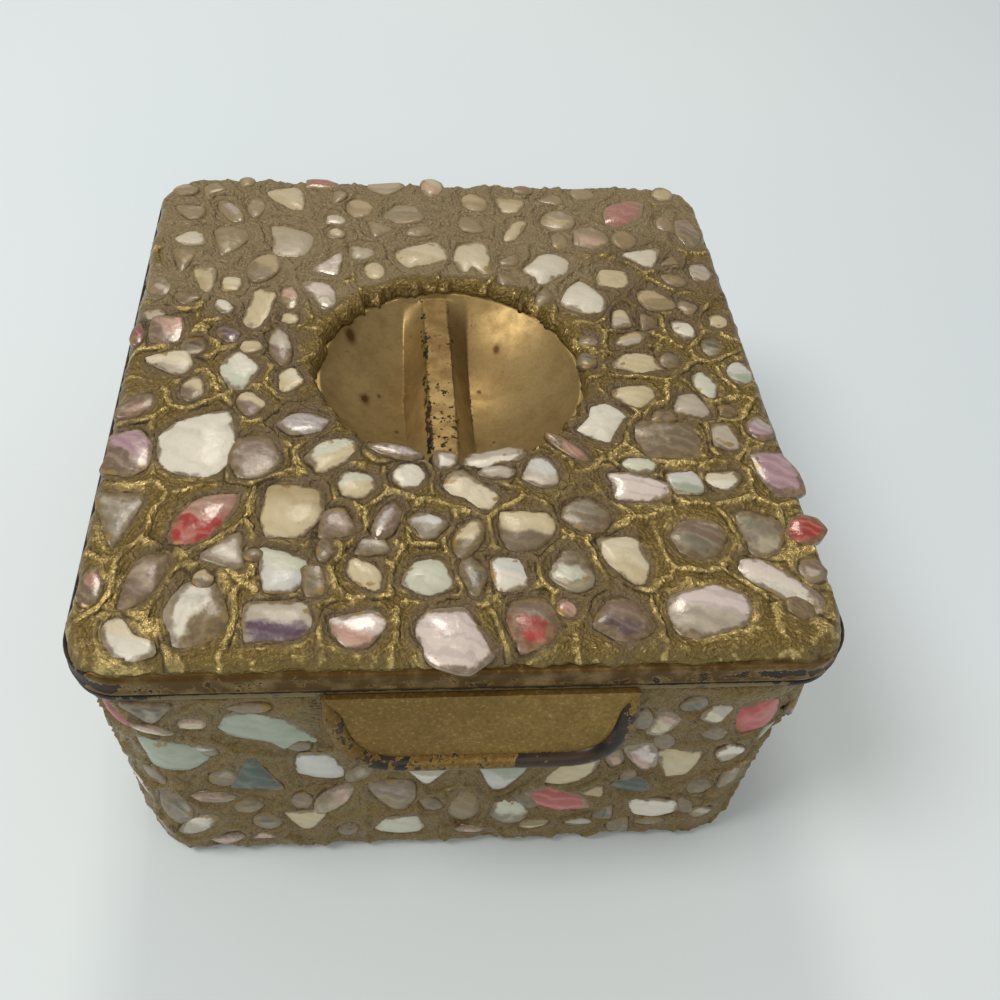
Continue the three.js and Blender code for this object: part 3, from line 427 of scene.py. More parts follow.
# Further chips of the front: x, height, size along, size up, turn, form, tone, lower tone
frontFurther = (
    (-42.4, 44.4, 6.4, 5.4, 0, "down", "brown", "brown"), (-42.6, 39.9, 6, 2, -20, "sliver", "blush", "paleCream"),
    (-37, 41.6, 4, 3.6, 10, "oval", "blush", "cream"), (-18.6, 15.8, 4.6, 10.4, -28, "oval", "blush", "tan"),
    (-39.6, 7.9, 4, 8.4, -42, "oval", "white", "greyWhite"), (-30.2, 3.1, 3.6, 2.6, 0, "triangle", "blush", "rose"),
    (3, 3, 5, 2.2, 0, "sliver", "rose", "blush"), (42, 27.2, 5, 5.8, 0, "wing", "white", "greyWhite"),
    (29.2, 37.8, 4, 7.4, -12, "wedge", "blush", "cream"), (36.6, 40.4, 4.6, 5, -30, "roof", "greyWhite", "paleCream"),
    (32.6, 43.4, 3.8, 4.6, -20, "oval", "slate", "slate"), (-36.8, 17.9, 7.2, 2.4, -5, "sliver", "blush", "blush"),
    (-42.4, 13.8, 4.6, 10.4, 5, "oval", "slate", "grey"), (-23.6, 15, 3.4, 5.8, 0, "leaf", "mauve", "tan"),
    (-9.9, 16.2, 7.4, 9.6, 0, "tooth", "mauve", "tan"), (-29.2, 8.6, 4.4, 5.2, 20, "oval", "slate", "grey"),
    (39, 16.2, 3.8, 4, 0, "oval", "slate", "grey"), (26, 39, 2, 7.6, 8, "oval", "mauve", "mauve"),
    (21, 4.2, 4.6, 3, 0, "oval", "greyWhite", "slate"), (-34.6, 24.4, 4, 5.4, 0, "oval", "olive", "olive"),
    (-31.6, 14, 4.6, 4, 10, "oval", "olive", "tan"), (11.6, 12.6, 2.4, 5, 40, "oval", "slate", "slate"),
    (37.6, 9.4, 2.6, 6, 20, "oval", "mauve", "smoke"), (41, 6.2, 4, 4, 0, "wing", "greyWhite", "tan"),
    (30.6, 32, 3, 6, 20, "oval", "smoke", "olive"), (43.6, 18, 3.6, 6, 0, "oval", "olive", "tan"),
    (37.4, 34.6, 3.6, 4.4, 0, "oval", "mauve", "smoke"), (-14.6, 24.6, 3.6, 6, -30, "oval", "smoke", "olive"),
    (24, 27, 2.6, 6, 10, "oval", "tan", "blush"), (33, 3.8, 5, 2.4, 0, "sliver", "olive", "tan"),
    (13.6, 4.2, 5, 2.6, 10, "sliver", "tan", "cream"), (-16.6, 4.6, 3, 4, 0, "oval", "brown", "smoke"),
    (-44.8, 23.4, 3, 6, 10, "oval", "mauve", "olive"), (-3.6, 12.6, 3, 5, 20, "oval", "brown", "smoke"),
    (-23, 34, 3.4, 2, 30, "sliver", "slate", "slate"), (-29, 45.6, 6, 2, 0, "sliver", "olive", "tan"),
    (27, 21, 2.4, 3, 0, "oval", "tan", "smoke"), (-36, 33.4, 2.4, 4, 30, "oval", "blueWhite", "grey"),
)

infill = {
    "gap": 0.7, "largest": 10.5, "smallest": 3.8, "falling": 1.1, "tries": 4200, "seed": 4711,
    "forms": ("slant", "square", "block", "hexagon", "tooth", "five", "roof", "legs", "wedge", "wing", "triangle", "trapeze", "star"),
    "wallTones": ("cream", "white", "blueWhite", "smoke", "tan", "mauve", "olive", "blush", "paleBlue", "olive",
                  "greyWhite", "warmCream", "grey", "slate", "coral", "pearl", "smoke", "tan", "mauve", "smoke"),
    "lidTones": ("smoke", "olive", "olive", "grey", "mauve", "smoke", "tan"),
}


roughOvals = ("ovalCut", "ovalBroken", "ovalPointed", "oval")


def roundedOutline(form, sizeX, sizeY, turn, count, jitter=0.0, random=None):
    # a form's corners cut round and then spaced evenly along the edge
    corners = np.array(chipForms[form], float)
    if random is not None:
        corners = corners + jitter * (random.random(corners.shape) - 0.5)
    corners = (corners - (corners.max(0) + corners.min(0)) / 2) / ((corners.max(0) - corners.min(0)) / 2)
    corners = corners * [sizeX / 2, sizeY / 2]
    for share in (0.11, 0.25):
        ahead = np.roll(corners, -1, 0)
        corners = np.stack([corners * (1 - share) + ahead * share, corners * share + ahead * (1 - share)], 1).reshape(-1, 2)
    closed = np.concatenate([corners, corners[:1]])
    along = np.concatenate([[0], np.cumsum(np.hypot(*np.diff(closed, axis=0).T))])
    spots = np.arange(count) / count * along[-1]
    even = np.stack([np.interp(spots, along, closed[:, k]) for k in (0, 1)], 1)
    angle = math.radians(turn)
    return even @ np.array([[math.cos(angle), math.sin(angle)], [-math.sin(angle), math.cos(angle)]])


def edgeDistance(u, v, outline):
    # distance to a closed outline, negative inside it
    best = np.full(u.shape, 1e9)
    inside = np.zeros(u.shape, bool)
    for (ax, ay), (bx, by) in zip(outline, np.roll(outline, -1, 0)):
        ex, ey = bx - ax, by - ay
        t = np.clip(((u - ax) * ex + (v - ay) * ey) / (ex * ex + ey * ey + 1e-12), 0, 1)
        best = np.minimum(best, np.hypot(u - ax - t * ex, v - ay - t * ey))
        crosses = (ay > v) != (by > v)
        with np.errstate(divide="ignore", invalid="ignore"):
            inside ^= crosses & (u < (bx - ax) * (v - ay) / (by - ay) + ax)
    return np.where(inside, -best, best)


chipBody = {"grown": 0.4, "rim": -0.16, "dome": 0.42, "flat": 3.4, "deep": -1.1, "lean": 0.34, "cut": 1.0, "cuts": 4}


class Chip:
    def __init__(self, name, u, v, sizes, turn, form, tones, count, seed):
        self.name, self.u, self.v, self.form, self.tones, self.seed = name, u, v, form, tones, seed
        self.sizes, self.turn = sizes, turn
        self.random = np.random.default_rng(seed)
        self.outline = roundedOutline(form, sizes[0] + 2 * chipBody["grown"], sizes[1] + 2 * chipBody["grown"], turn, count, 0.2, self.random)
        self.reach = np.hypot(*self.outline.T).max()


def lifted(run, z):
    return run, z + 1.5 * float(swellAt(run, z))


def readNamed(prefix, rows, place):
    chips = []
    for i, (name, (sizeX, sizeY, turn, form, tone, frontTone)) in enumerate(rows.items()):
        u, v = place(prefix + name)
        chips.append(Chip(prefix + name, u, v, (sizeX, sizeY), turn, form, (tone, frontTone), 30, 500 + i))
    return chips


def readFurther(rows, seed, scaleRun=None):
    chips = []
    for i, (u, v, sizeX, sizeY, turn, form, tone, frontTone) in enumerate(rows):
        if scaleRun:
            u, v = lifted(scaleRun(u, v), v)
        form = roughOvals[i % len(roughOvals)] if form == "oval" else form
        chips.append(Chip(None, u, v, (sizeX, sizeY), turn, form, (tone, frontTone), 16, seed + i))
    return chips


def scaleRun(run, z):
    return run * wallRound / perimeter(wallInset(z) - coat["wall"], tin["wallCorner"] + coat["wall"])


def nodeOnLid(node):
    low, high = boxOf(node)
    return (low[0] + high[0]) / 2, (low[1] + high[1]) / 2


# where a piece sits further along the wall or up it than its node's middle
shifted = {"front_chip_red_corner": (-1.2, -2.6)}
# how far round the line between a piece's two tones is turned
splitTurn = {"lid_chip_white_oval": -100, "lid_chip_red_left": 12, "lid_chip_purple_front": 14, "lid_chip_pearl_stick": -30}


def nodeOnFront(node):
    low, high = boxOf(node)
    z = (low[2] + high[2]) / 2
    inset = wallInset(z) - coat["wall"]
    corner = tin["wallCorner"] + coat["wall"]
    straightX, _, arc = outlineLengths(inset, corner)
    x = (low[0] + high[0]) / 2
    beyond = abs(x) - straightX / 2
    run = abs(x) if beyond <= 0 else straightX / 2 + corner * math.asin(min(0.95, beyond / corner))
    along, up = shifted.get(node, (0, 0))
    return lifted(scaleRun(math.copysign(run, x) + along, z), z + up)


def fillBetween(chips, allowed, spanU, spanV, tones, seed, roundTrip=None):
    # further chips, the larger ones first, wherever one fits clear of those laid
    random = np.random.default_rng(seed)
    outlines = [chip.outline + [chip.u, chip.v] for chip in chips]
    centres = [(chip.u, chip.v, chip.reach) for chip in chips]
    forms = infill["forms"]
    added = []
    for attempt in range(infill["tries"]):
        share = (attempt / infill["tries"]) ** (1 / infill["falling"])
        length = infill["largest"] + (infill["smallest"] - infill["largest"]) * share
        breadth = length * (0.5 + 0.35 * random.random())
        u, v = spanU[0] + (spanU[1] - spanU[0]) * random.random(), spanV[0] + (spanV[1] - spanV[0]) * random.random()
        form, turn = forms[int(random.random() * len(forms))], 360 * random.random()
        first = tones[int(random.random() * len(tones))]
        second = tones[int(random.random() * len(tones))] if random.random() < 0.25 else first
        if not allowed(u, v, length / 2):
            continue
        chip = None
        clear = True
        for (cu, cv, reach), other in zip(centres, outlines):
            du = u - cu if roundTrip is None else (u - cu + roundTrip / 2) % roundTrip - roundTrip / 2
            if math.hypot(du, v - cv) > reach + length * 0.62 + infill["gap"]:
                continue
            if chip is None:
                chip = Chip(None, u, v, (length, breadth), turn, form, (first, second), 16, seed + attempt)
            points = chip.outline + [du, v - cv]
            shape = other - [cu, cv]
            away = edgeDistance(points[:, 0], points[:, 1], shape).min()
            back = edgeDistance(shape[:, 0], shape[:, 1], points).min()
            if min(away, back) < infill["gap"]:
                clear = False
                break
        if not clear:
            continue
        if chip is None:
            chip = Chip(None, u, v, (length, breadth), turn, form, (first, second), 16, seed + attempt)
        added.append(chip)
        outlines.append(chip.outline + [chip.u, chip.v])
        centres.append((chip.u, chip.v, chip.reach))
    return added


def onLid(x, y, reach):
    fromEdge = min(tin["halfWidth"] - abs(x), tin["halfDepth"] - abs(y)) - reach
    inCorner = abs(x) + abs(y) > tin["halfWidth"] + tin["halfDepth"] - tin["lidCorner"] - reach
    return fromEdge > 1.2 and not inCorner and math.hypot(x - dish["x"], y - dish["y"]) > dish["radius"] + reach + 0.8


def onWall(run, z, reach):
    behindTab = tabLow[0] - reach < run < tabHigh[0] + reach and z > tabLow[2] - reach
    return coat["foot"] + 0.6 + reach < z < coat["top"] - 0.5 - reach and not behindTab


print("laying out the shell")
lidChips = readNamed("lid_chip_", lidNamed, nodeOnLid) + readFurther(lidFurther, 900)
lidChips += fillBetween(
    lidChips, onLid, (-tin["halfWidth"], tin["halfWidth"]), (-tin["halfDepth"], tin["halfDepth"]),
    infill["lidTones"], infill["seed"],
)
wallChips = readNamed("front_chip_", frontNamed, nodeOnFront) + readFurther(frontFurther, 1900, scaleRun)
wallChips += fillBetween(
    wallChips, onWall, (-wallRound / 2, wallRound / 2), (coat["foot"], coat["top"]),
    infill["wallTones"], infill["seed"] + 1, wallRound,
)
print("chips on the lid", len(lidChips), "and on the walls", len(wallChips))


# ---- putty: its height round the chips ----
putty = {
    "edge": -0.12, "edgeVaries": 0.45, "lip": 0.18, "lipReach": 0.5, "under": -1.4, "raggedness": 0.9,
    "pinch": 0.62, "pinchWidth": 1.0, "pinchSide": -0.35, "crack": 0.3, "crackSide": 0.5, "crackWidth": 0.35,
    "wrinkle": 0.26, "wrinkleSize": 1.7, "fine": 0.16, "fineSize": 0.95, "ripple": 0.06, "ripplePitch": 1.2,
}


def puttyHeight(u, v, chips, seed, roundTrip=None):
    # the distances to the nearest two chips tell how far a place is from the seam between their cells
    near = np.full(u.shape, 6.0)
    second = np.full(u.shape, 6.0)
    nearest = np.full(u.shape, -1)
    following = np.full(u.shape, -1)
    for index, chip in enumerate(chips):
        du = u - chip.u
        if roundTrip is not None:
            du = np.mod(du + roundTrip / 2, roundTrip) - roundTrip / 2
        dv = v - chip.v
        close = (np.abs(du) < chip.reach + 4) & (np.abs(dv) < chip.reach + 4)
        if not close.any():
            continue
        there = edgeDistance(du[close], dv[close], chip.outline)
        first, other, firstIndex, otherIndex = near[close], second[close], nearest[close], following[close]
        wins = there < first
        places = ~wins & (there < other)
        near[close] = np.where(wins, there, first)
        second[close] = np.where(wins, first, np.where(places, there, other))
        nearest[close] = np.where(wins, index, firstIndex)
        following[close] = np.where(wins, firstIndex, np.where(places, index, otherIndex))
    waver = 0.9 * (noiseField(u, v, 2.6, seed + 7, roundTrip) - 0.5) + 0.5 * (noiseField(u, v, 1.0, seed + 8, roundTrip) - 0.5)
    seam = np.where(nearest < following, 1, -1) * (second - near) + 1.6 * waver
    broad = noiseField(u, v, 5.5, seed, roundTrip)
    medium = noiseField(u, v, putty["wrinkleSize"], seed + 1, roundTrip)
    fine = noiseField(u, v, putty["fineSize"], seed + 2, roundTrip)
    ragged = near + putty["raggedness"] * (0.6 * noiseField(u, v, 2.3, seed + 3, roundTrip) + 0.4 * noiseField(u, v, 0.9, seed + 4, roundTrip) - 0.42)
    away = np.maximum(ragged, 0)
    lip = putty["lip"] * (0.4 + 1.1 * broad) * (1 - np.exp(-(away / putty["lipReach"]) ** 1.5))
    height = putty["edge"] + putty["edgeVaries"] * (noiseField(u, v, 3.1, seed + 5, roundTrip) - 0.5) + lip
    strength = smoothStep(0.1, 0.7, near) * (0.35 + 0.9 * noiseField(u, v, 4.2, seed + 9, roundTrip))
    height += putty["pinch"] * strength * np.exp(-((seam - putty["pinchSide"]) / putty["pinchWidth"]) ** 2)
    height -= putty["crack"] * strength * np.exp(-((seam - putty["crackSide"]) / putty["crackWidth"]) ** 2)
    folds = 1 - np.abs(2 * medium - 1)
    creases = 1 - np.abs(2 * fine - 1)
    height += (0.3 + 0.7 * smoothStep(0.1, 0.9, away)) * (putty["wrinkle"] * (folds - 0.6) + putty["fine"] * (creases - 0.6))
    wave = np.sin(2 * math.pi * (near / putty["ripplePitch"] + 2.2 * medium))
    height += putty["ripple"] * wave * smoothStep(0.2, 0.8, near)
    sunk = smoothStep(0.15, 0.75, -ragged)
    return height * (1 - sunk) + putty["under"] * sunk, near, seam


def relief(height, passes=14):
    # how far each point of a grid stands above its surroundings
    soft = height.copy()
    for _ in range(passes):
        sides = np.roll(soft, 1, 1) + np.roll(soft, -1, 1)
        up = np.concatenate([soft[:1], soft[:-1]])
        down = np.concatenate([soft[1:], soft[-1:]])
        soft = (sides + up + down + soft) / 5
    return height - soft


def buildLidPutty():
    around, rings, edgeRows = 940, 86, 3
    corner = tin["lidCorner"]
    fraction = np.arange(around) / around
    whole = perimeter(0, corner)
    rim = noiseField(fraction * whole, fraction * 0, 3.2, 61, whole) + 0.5 * noiseField(fraction * whole, fraction * 0, 1.2, 62, whole)
    outer, _ = alongOutline(fraction * whole, 0 * fraction, corner + 0 * fraction)
    inward = coat["lidEdge"] - 0.55 * (rim - 0.75)
    _, outward = alongOutline(fraction * whole, 0 * fraction, corner + 0 * fraction)
    outer = outer - outward * inward[:, None]
    centre = np.array([dish["x"], dish["y"]])
    spokes = outer - centre
    spokes /= np.hypot(*spokes.T)[:, None]
    lap = noiseField(fraction * whole, fraction * 0, 7, 63, whole) + 0.6 * noiseField(fraction * whole, fraction * 0, 2.2, 64, whole)
    inner = centre + spokes * (dish["radius"] + 0.3 - 1.2 * (lap - 0.8))[:, None]
    share = np.linspace(0, 1, rings)[:, None, None]
    ground = inner * (1 - share) + outer * share
    x, y = ground[..., 0], ground[..., 1]
    height, near, seam = puttyHeight(x, y, lidChips, 71)
    toOuter = np.hypot(*(outer - ground).transpose(2, 0, 1))
    toInner = np.hypot(*(ground - inner).transpose(2, 0, 1))
    thickness = coat["lidTop"] - tin["plateTop"]
    fall = np.sqrt(smoothStep(-0.3, 1.9, toOuter)) * np.sqrt(smoothStep(-0.25, 1.2, toInner))
    z = tin["plateTop"] + 0.05 + (thickness + height) * fall
    z = np.maximum(z, tin["plateTop"] + 0.08)
    rise = relief(height)
    points = [np.stack([x, y, z], -1)]
    floor = np.full(around, tin["plateTop"] - 0.02)
    # the skirt's shoulder falls away under the outer edge, so the coat's edge follows it down
    skirtEdge = outer + outward * 0.12
    under = np.stack([skirtEdge[:, 0], skirtEdge[:, 1], floor - 0.35], -1)
    underIn = np.concatenate([inner - spokes * 0.05, (floor - 0.2)[:, None]], 1)
    points += [under[None], underIn[None]]
    grid = np.concatenate(points)
    faces = gridFaces(len(grid), around, True)
    rise = np.concatenate([rise, np.zeros((2, around))])
    near = np.concatenate([near, np.full((2, around), 2.0)])
    seam = np.concatenate([seam, np.full((2, around), 4.0)])
    gx, gy = grid[..., 0], grid[..., 1]
    fromDish = np.hypot(gx - dish["x"], gy - dish["y"]) - dish["radius"]
    # painted light: brighter gold towards the front and at the sides and duller towards the back, for how the light
    # falls on the lid; also a gold band along the dish's back rim
    gilding = 0.05 * smoothStep(-10, -48, gy) - 0.15 * smoothStep(2, 26, gy)
    gilding += 0.09 * smoothStep(22, 34, gx) * (1 - smoothStep(30, 46, gy)) + 0.05 * smoothStep(-24, -36, gx) * (1 - smoothStep(0, 20, gy))
    gilding += 0.34 * np.exp(-((fromDish - 1.2) / 1.5) ** 2) * smoothStep(-4, 8, gy - dish["y"])
    fields = {"relief": rise.ravel(), "awayFromChip": near.ravel(), "seam": seam.ravel(), "gilding": gilding.ravel()}
    return meshPiece("lid_gold_putty", grid.reshape(-1, 3), faces, fields)


def buildWallPutty():
    around, rows = 900, 98
    run = (np.arange(around) / around - 0.5)[None, :] * wallRound + 0 * np.zeros((rows, 1))
    edge = noiseField(run[0], run[0] * 0, 4.0, 81, wallRound) + 0.5 * noiseField(run[0], run[0] * 0, 1.5, 82, wallRound)
    foot = coat["foot"] - 0.7 * (edge - 0.75)
    top = np.full(around, coat["top"])
    share = np.linspace(0, 1, rows)[:, None]
    z = foot * (1 - share) + top * share
    height, near, seam = puttyHeight(run, z, wallChips, 91, wallRound)
    fall = np.sqrt(smoothStep(-0.4, 1.5, z - foot)) * np.sqrt(smoothStep(-0.5, 0.9, top - z))
    out = -coat["wall"] + (coat["wall"] + height) * fall
    # behind the tab the coat is pressed flat
    tabCover = smoothStep(tabLow[0] - 1.5, tabLow[0] + 1, run) * (1 - smoothStep(tabHigh[0] - 1, tabHigh[0] + 1.5, run))
    tabCover = tabCover * smoothStep(tabLow[2] - 1.5, tabLow[2] + 1.0, z)
    out = out * (1 - tabCover) + np.minimum(out, -0.5) * tabCover
    out = np.maximum(out, -coat["wall"] + 0.1)
    rise = relief(height)
    face = wallPoint(run, z, out)
    wall = np.full(around, -coat["wall"] - coat["bondDepth"])
    back = [wallPoint(run[0], top, wall)[None], wallPoint(run[0], foot, wall)[None]]
    grid = np.concatenate([face] + back)
    faces = gridFaces(len(grid), around, True)
    rise = np.concatenate([rise, np.zeros((2, around))])
    near = np.concatenate([near, np.full((2, around), 2.0)])
    seam = np.concatenate([seam, np.full((2, around), 4.0)])
    fields = {"relief": rise.ravel(), "awayFromChip": near.ravel(), "seam": seam.ravel()}
    return meshPiece("body_gold_putty", grid.reshape(-1, 3), faces, fields)


# ---- chips as meshes ----
def chipSurface(chip, shares):
    # rings of a chip from its middle out to its edge, then down into the putty
    random = np.random.default_rng(chip.seed + 7)
    size = min(chip.sizes)
    dome = chipBody["dome"] * min(1.2, 0.45 + size / 12) * (0.75 + 0.5 * random.random())
    leanAngle = 2 * math.pi * random.random()
    lean = chipBody["lean"] * random.random()
    rim = chipBody["rim"] + 0.2 * random.random()
    cuts = [(2 * math.pi * random.random(), 0.1 + 0.5 * random.random(), chipBody["cut"] * random.random()) for _ in range(chipBody["cuts"])]
    rings, heights = [], []
    for share in shares:
        ring = chip.outline * share
        local = ring / chip.reach
        h = rim + dome * (1 - share ** chipBody["flat"])
        h = h + lean * (local[:, 0] * math.cos(leanAngle) + local[:, 1] * math.sin(leanAngle))
        for angle, start, slope in cuts:
            h = h - slope * np.maximum(local[:, 0] * math.cos(angle) + local[:, 1] * math.sin(angle) - start, 0)
        rings.append(ring)
        heights.append(h)
    rings.append(chip.outline * 1.015)
    heights.append(heights[-1] - 0.35)
    rings.append(chip.outline * 1.0)
    heights.append(np.full(len(chip.outline), chipBody["deep"]))
    return np.array(rings), np.array(heights), rim + dome


def chipMesh(chip, place, shares):
    rings, heights, middle = chipSurface(chip, shares)
    count = len(chip.outline)
    u = np.concatenate([[0], rings[..., 0].ravel()])
    v = np.concatenate([[0], rings[..., 1].ravel()])
    h = np.concatenate([[middle], heights.ravel()])
    edge = np.concatenate([[0], np.repeat(list(shares) + [1, 1], count)])
    faces = [[0, 1 + i, 1 + (i + 1) % count] for i in range(count)]
    for ring in range(len(rings) - 1):
        a, b = 1 + ring * count, 1 + (ring + 1) * count
        faces += [[a + i, b + i, b + (i + 1) % count, a + (i + 1) % count] for i in range(count)]
    last = 1 + (len(rings) - 1) * count
    faces.append([last + i for i in reversed(range(count))])
    points = place(chip.u + u, chip.v + v, h)
    angle = -math.radians(chip.turn)
    localX = (u * math.cos(angle) - v * math.sin(angle)) / (chip.sizes[0] / 2)
    localY = (u * math.sin(angle) + v * math.cos(angle)) / (chip.sizes[1] / 2)
    if chip.turn == 0 or chip.name:
        localX, localY = u / (chip.sizes[0] / 2), v / (max(np.ptp(chip.outline[:, 1]), 1) / 2)
    split = math.radians(splitTurn.get(chip.name, 0))
    localX, localY = localX * math.cos(split) + localY * math.sin(split), localY * math.cos(split) - localX * math.sin(split)
    mark = np.random.default_rng(chip.seed + 3).random()
    spot = np.stack([localX, localY, np.full(len(u), mark)], 1)
    tones = [np.tile(linear(chipTones[tone][0]), (len(u), 1)) for tone in chip.tones]
    radius = np.full(len(u), min(chip.sizes) / 2 + chipBody["grown"])
    return points, faces, {"chipSpot": spot, "chipEdge": edge, "chipRadius": radius, "toneBack": tones[0], "toneFront": tones[1]}


# ---- tin ----
def ringOf(inset, corner, z, spacing=0.9):
    whole = perimeter(0, tin["lidCorner"])
    count = int(whole / spacing)
    fraction = np.arange(count) / count
    length = perimeter(inset, corner)
    place, _ = alongOutline(fraction * length, inset + 0 * fraction, corner + 0 * fraction)
    return np.concatenate([place, np.full((count, 1), z)], 1)


def arcRings(inset, corner, z, size, start, stop, steps=5):
    # a rounded bend of a section: angles from straight up the wall (0) to level (90)
    rings = []
    for step in range(steps + 1):
        angle = math.radians(start + (stop - start) * step / steps)
        inward = size * (1 - math.cos(angle))
        rings.append(ringOf(inset + inward, corner - inward, z + size * math.sin(angle)))
    return rings


def dishHeight(x, y):
    # the bowl with its ridge, below the lid's plate, with soft bends
    r = np.hypot(x - dish["x"], y - dish["y"])
    ball = (dish["radius"] ** 2 + dish["depth"] ** 2) / (2 * dish["depth"])
    bowl = tin["plateTop"] - dish["depth"] + ball - np.sqrt(np.maximum(ball ** 2 - r ** 2, 1))
    flank = (ridge["footWidth"] - ridge["topWidth"]) / 2
    share = np.clip((ridge["footWidth"] / 2 - np.abs(x - ridge["x"])) / flank, 0, 1)
    bar = tin["plateTop"] - ridge["drop"]
    pressed = bowl + np.maximum(bar - bowl, 0) * share ** ridge["hollow"]
    return np.where(r < dish["radius"], np.minimum(pressed, tin["plateTop"]), tin["plateTop"])


# brown stains in the dish: x, y and size in mm
stains = ((-16.1, 12.1, 0.9), (-13.6, 0.6, 0.8), (-11.2, 2.4, 0.35), (9.5, 13.0, 0.5), (-8.4, -6.0, 0.35))


def buildTinLid():
    top, corner, sheet = tin["plateTop"], tin["lidCorner"], tin["sheet"]
    shoulder = top - tin["edgeRound"]
    seat = tin["seat"]
    rings = []
    # inside: plate, skirt, hem lip; then the outside, upwards
    rings += [ringOf(sheet + 0.3, corner - sheet, top - sheet), ringOf(sheet, corner - sheet, shoulder)]
    rings += [ringOf(sheet, corner - sheet, seat + tin["hemHeight"])]
    lip = tin["hemWidth"] / 2
    for angle in range(0, 181, 20):
        turn = math.radians(angle)
        inset = lip + lip * math.cos(turn)
        rings.append(ringOf(inset, corner - inset, seat + lip * 0.9 * (1 - math.sin(turn))))
    rings += [ringOf(0.0, corner, seat + lip * 1.3), ringOf(0.07, corner, seat + lip * 1.6)]
    rings += [ringOf(0.07, corner, z) for z in np.linspace(seat + lip * 2, shoulder - 0.3, 4)]
    rings += arcRings(0.05, corner, shoulder, tin["edgeRound"], 0, 90, 6)
    outside = rings[-1][:, :2]
    centre = np.array([dish["x"], dish["y"]])
    spokes = outside - centre
    spokes /= np.hypot(*spokes.T)[:, None]
    rimRing = centre + spokes * (dish["radius"] + 0.6)
    for share in np.linspace(0, 1, 8)[1:]:
        flat = outside * (1 - share) + rimRing * share
        rings.append(np.concatenate([flat, np.full((len(flat), 1), top)], 1))
    radii = np.concatenate([dish["radius"] * np.array([1.015, 1.005]), dish["radius"] * (1 - np.linspace(0.002, 1, 64) ** 1.05)])[:-1]
    for radius in radii:
        flat = centre + spokes * radius
        z = dishHeight(flat[:, 0], flat[:, 1])
        rings.append(np.concatenate([flat, z[:, None]], 1))
    pole = np.array([[dish["x"], dish["y"], dishHeight(np.array([dish["x"]]), np.array([dish["y"]]))[0]]])
    # the underside repeats the dish one sheet lower, so that the lid is one closed skin
    under = []
    for radius in radii[::3]:
        flat = centre + spokes * (radius + sheet * 0.5)
        z = dishHeight(centre[0] + spokes[:, 0] * radius, centre[1] + spokes[:, 1] * radius) - sheet
        under.append(np.concatenate([flat, z[:, None]], 1))
    inside = rings[0][:, :2]
    plateUnder = [np.concatenate([inside * (1 - s) + under[0][:, :2] * s, np.full((len(inside), 1), top - sheet)], 1) for s in (0.5,)]
    rings = list(reversed(under)) + plateUnder + rings
    count = len(rings[0])
    points = np.concatenate([pole - [0, 0, sheet]] + rings + [pole])
    faces = [[a + 1 for a in face] for face in gridFaces(len(rings), count)]
    last = 1 + (len(rings) - 1) * count
    end = len(points) - 1
    faces += [[0, 1 + (i + 1) % count, 1 + i] for i in range(count)]
    faces += [[end, last + i, last + (i + 1) % count] for i in range(count)]
    onSkirt = np.maximum(np.abs(points[:, 0]) - tin["halfWidth"], np.abs(points[:, 1]) - tin["halfDepth"]) > -1.2
    tarnish = np.where(onSkirt, 1.0, 0.05)
    for x, y, size in stains:
        away = np.hypot(points[:, 0] - x, (points[:, 1] - y) * 0.7)
        tarnish = np.maximum(tarnish, 1.6 * np.exp(-(away / size) ** 2))
    acrossRidge, alongRidge = np.abs(points[:, 0] - ridge["x"]), points[:, 1] - dish["y"]
    onRidge = (acrossRidge < ridge["topWidth"] / 2 + 0.3) & (np.abs(alongRidge) < dish["radius"])
    flecked = 0.74 + 0.16 * smoothStep(2, -10, alongRidge) + 0.12 * smoothStep(1.2, 1.9, acrossRidge)
    tarnish = np.where(onRidge, np.maximum(tarnish, 0.5), tarnish)
    fields = {"wear": lidWear(points), "tarnish": tarnish, "flecked": np.where(onRidge, flecked, 0.0)}
    return meshPiece("tin_lid_painted", points, faces, fields, 40)


def lidWear(points):
    # where the gold has worn through: along the ridge, and low on the skirt towards the corners
    x, y, z = points.T
    inDish = np.hypot(x - dish["x"], y - dish["y"]) < dish["radius"] + 0.5
    onRidge = inDish & (np.abs(x - ridge["x"]) < ridge["topWidth"] / 2 + 0.7) & (z > tin["plateTop"] - 2.2)
    nearFront = smoothStep(4, -10, y - dish["y"])
    ridgeWear = np.where(onRidge, 0.4 + 0.08 * nearFront, 0.1)
    leftEdge = np.where(onRidge & (x < ridge["x"] - ridge["topWidth"] / 2 + 0.4), 0.56 + 0.2 * nearFront, 0)
    outside = (np.abs(x) > tin["halfWidth"] - 2.2) | (np.abs(y) > tin["halfDepth"] - 2.2)
    low = 1 - smoothStep(tin["seat"] + 1.0, tin["seat"] + 3.4, z)
    cornerLeft = smoothStep(38, 47, -x)
    cornerRight = smoothStep(26, 40, x)
    corner = np.maximum(cornerLeft, cornerRight)
    middle = smoothStep(tin["seat"] + 1.0, tin["seat"] + 1.7, z) * (1 - smoothStep(tin["seat"] + 2.6, tin["seat"] + 3.6, z))
    skirt = 0.36 + 0.1 * low + 0.34 * corner * middle + 0.5 * smoothStep(47, 51, np.abs(x))
    skirt = np.where(outside, skirt, 0)
    return np.maximum(np.maximum(ridgeWear, leftEdge), skirt)


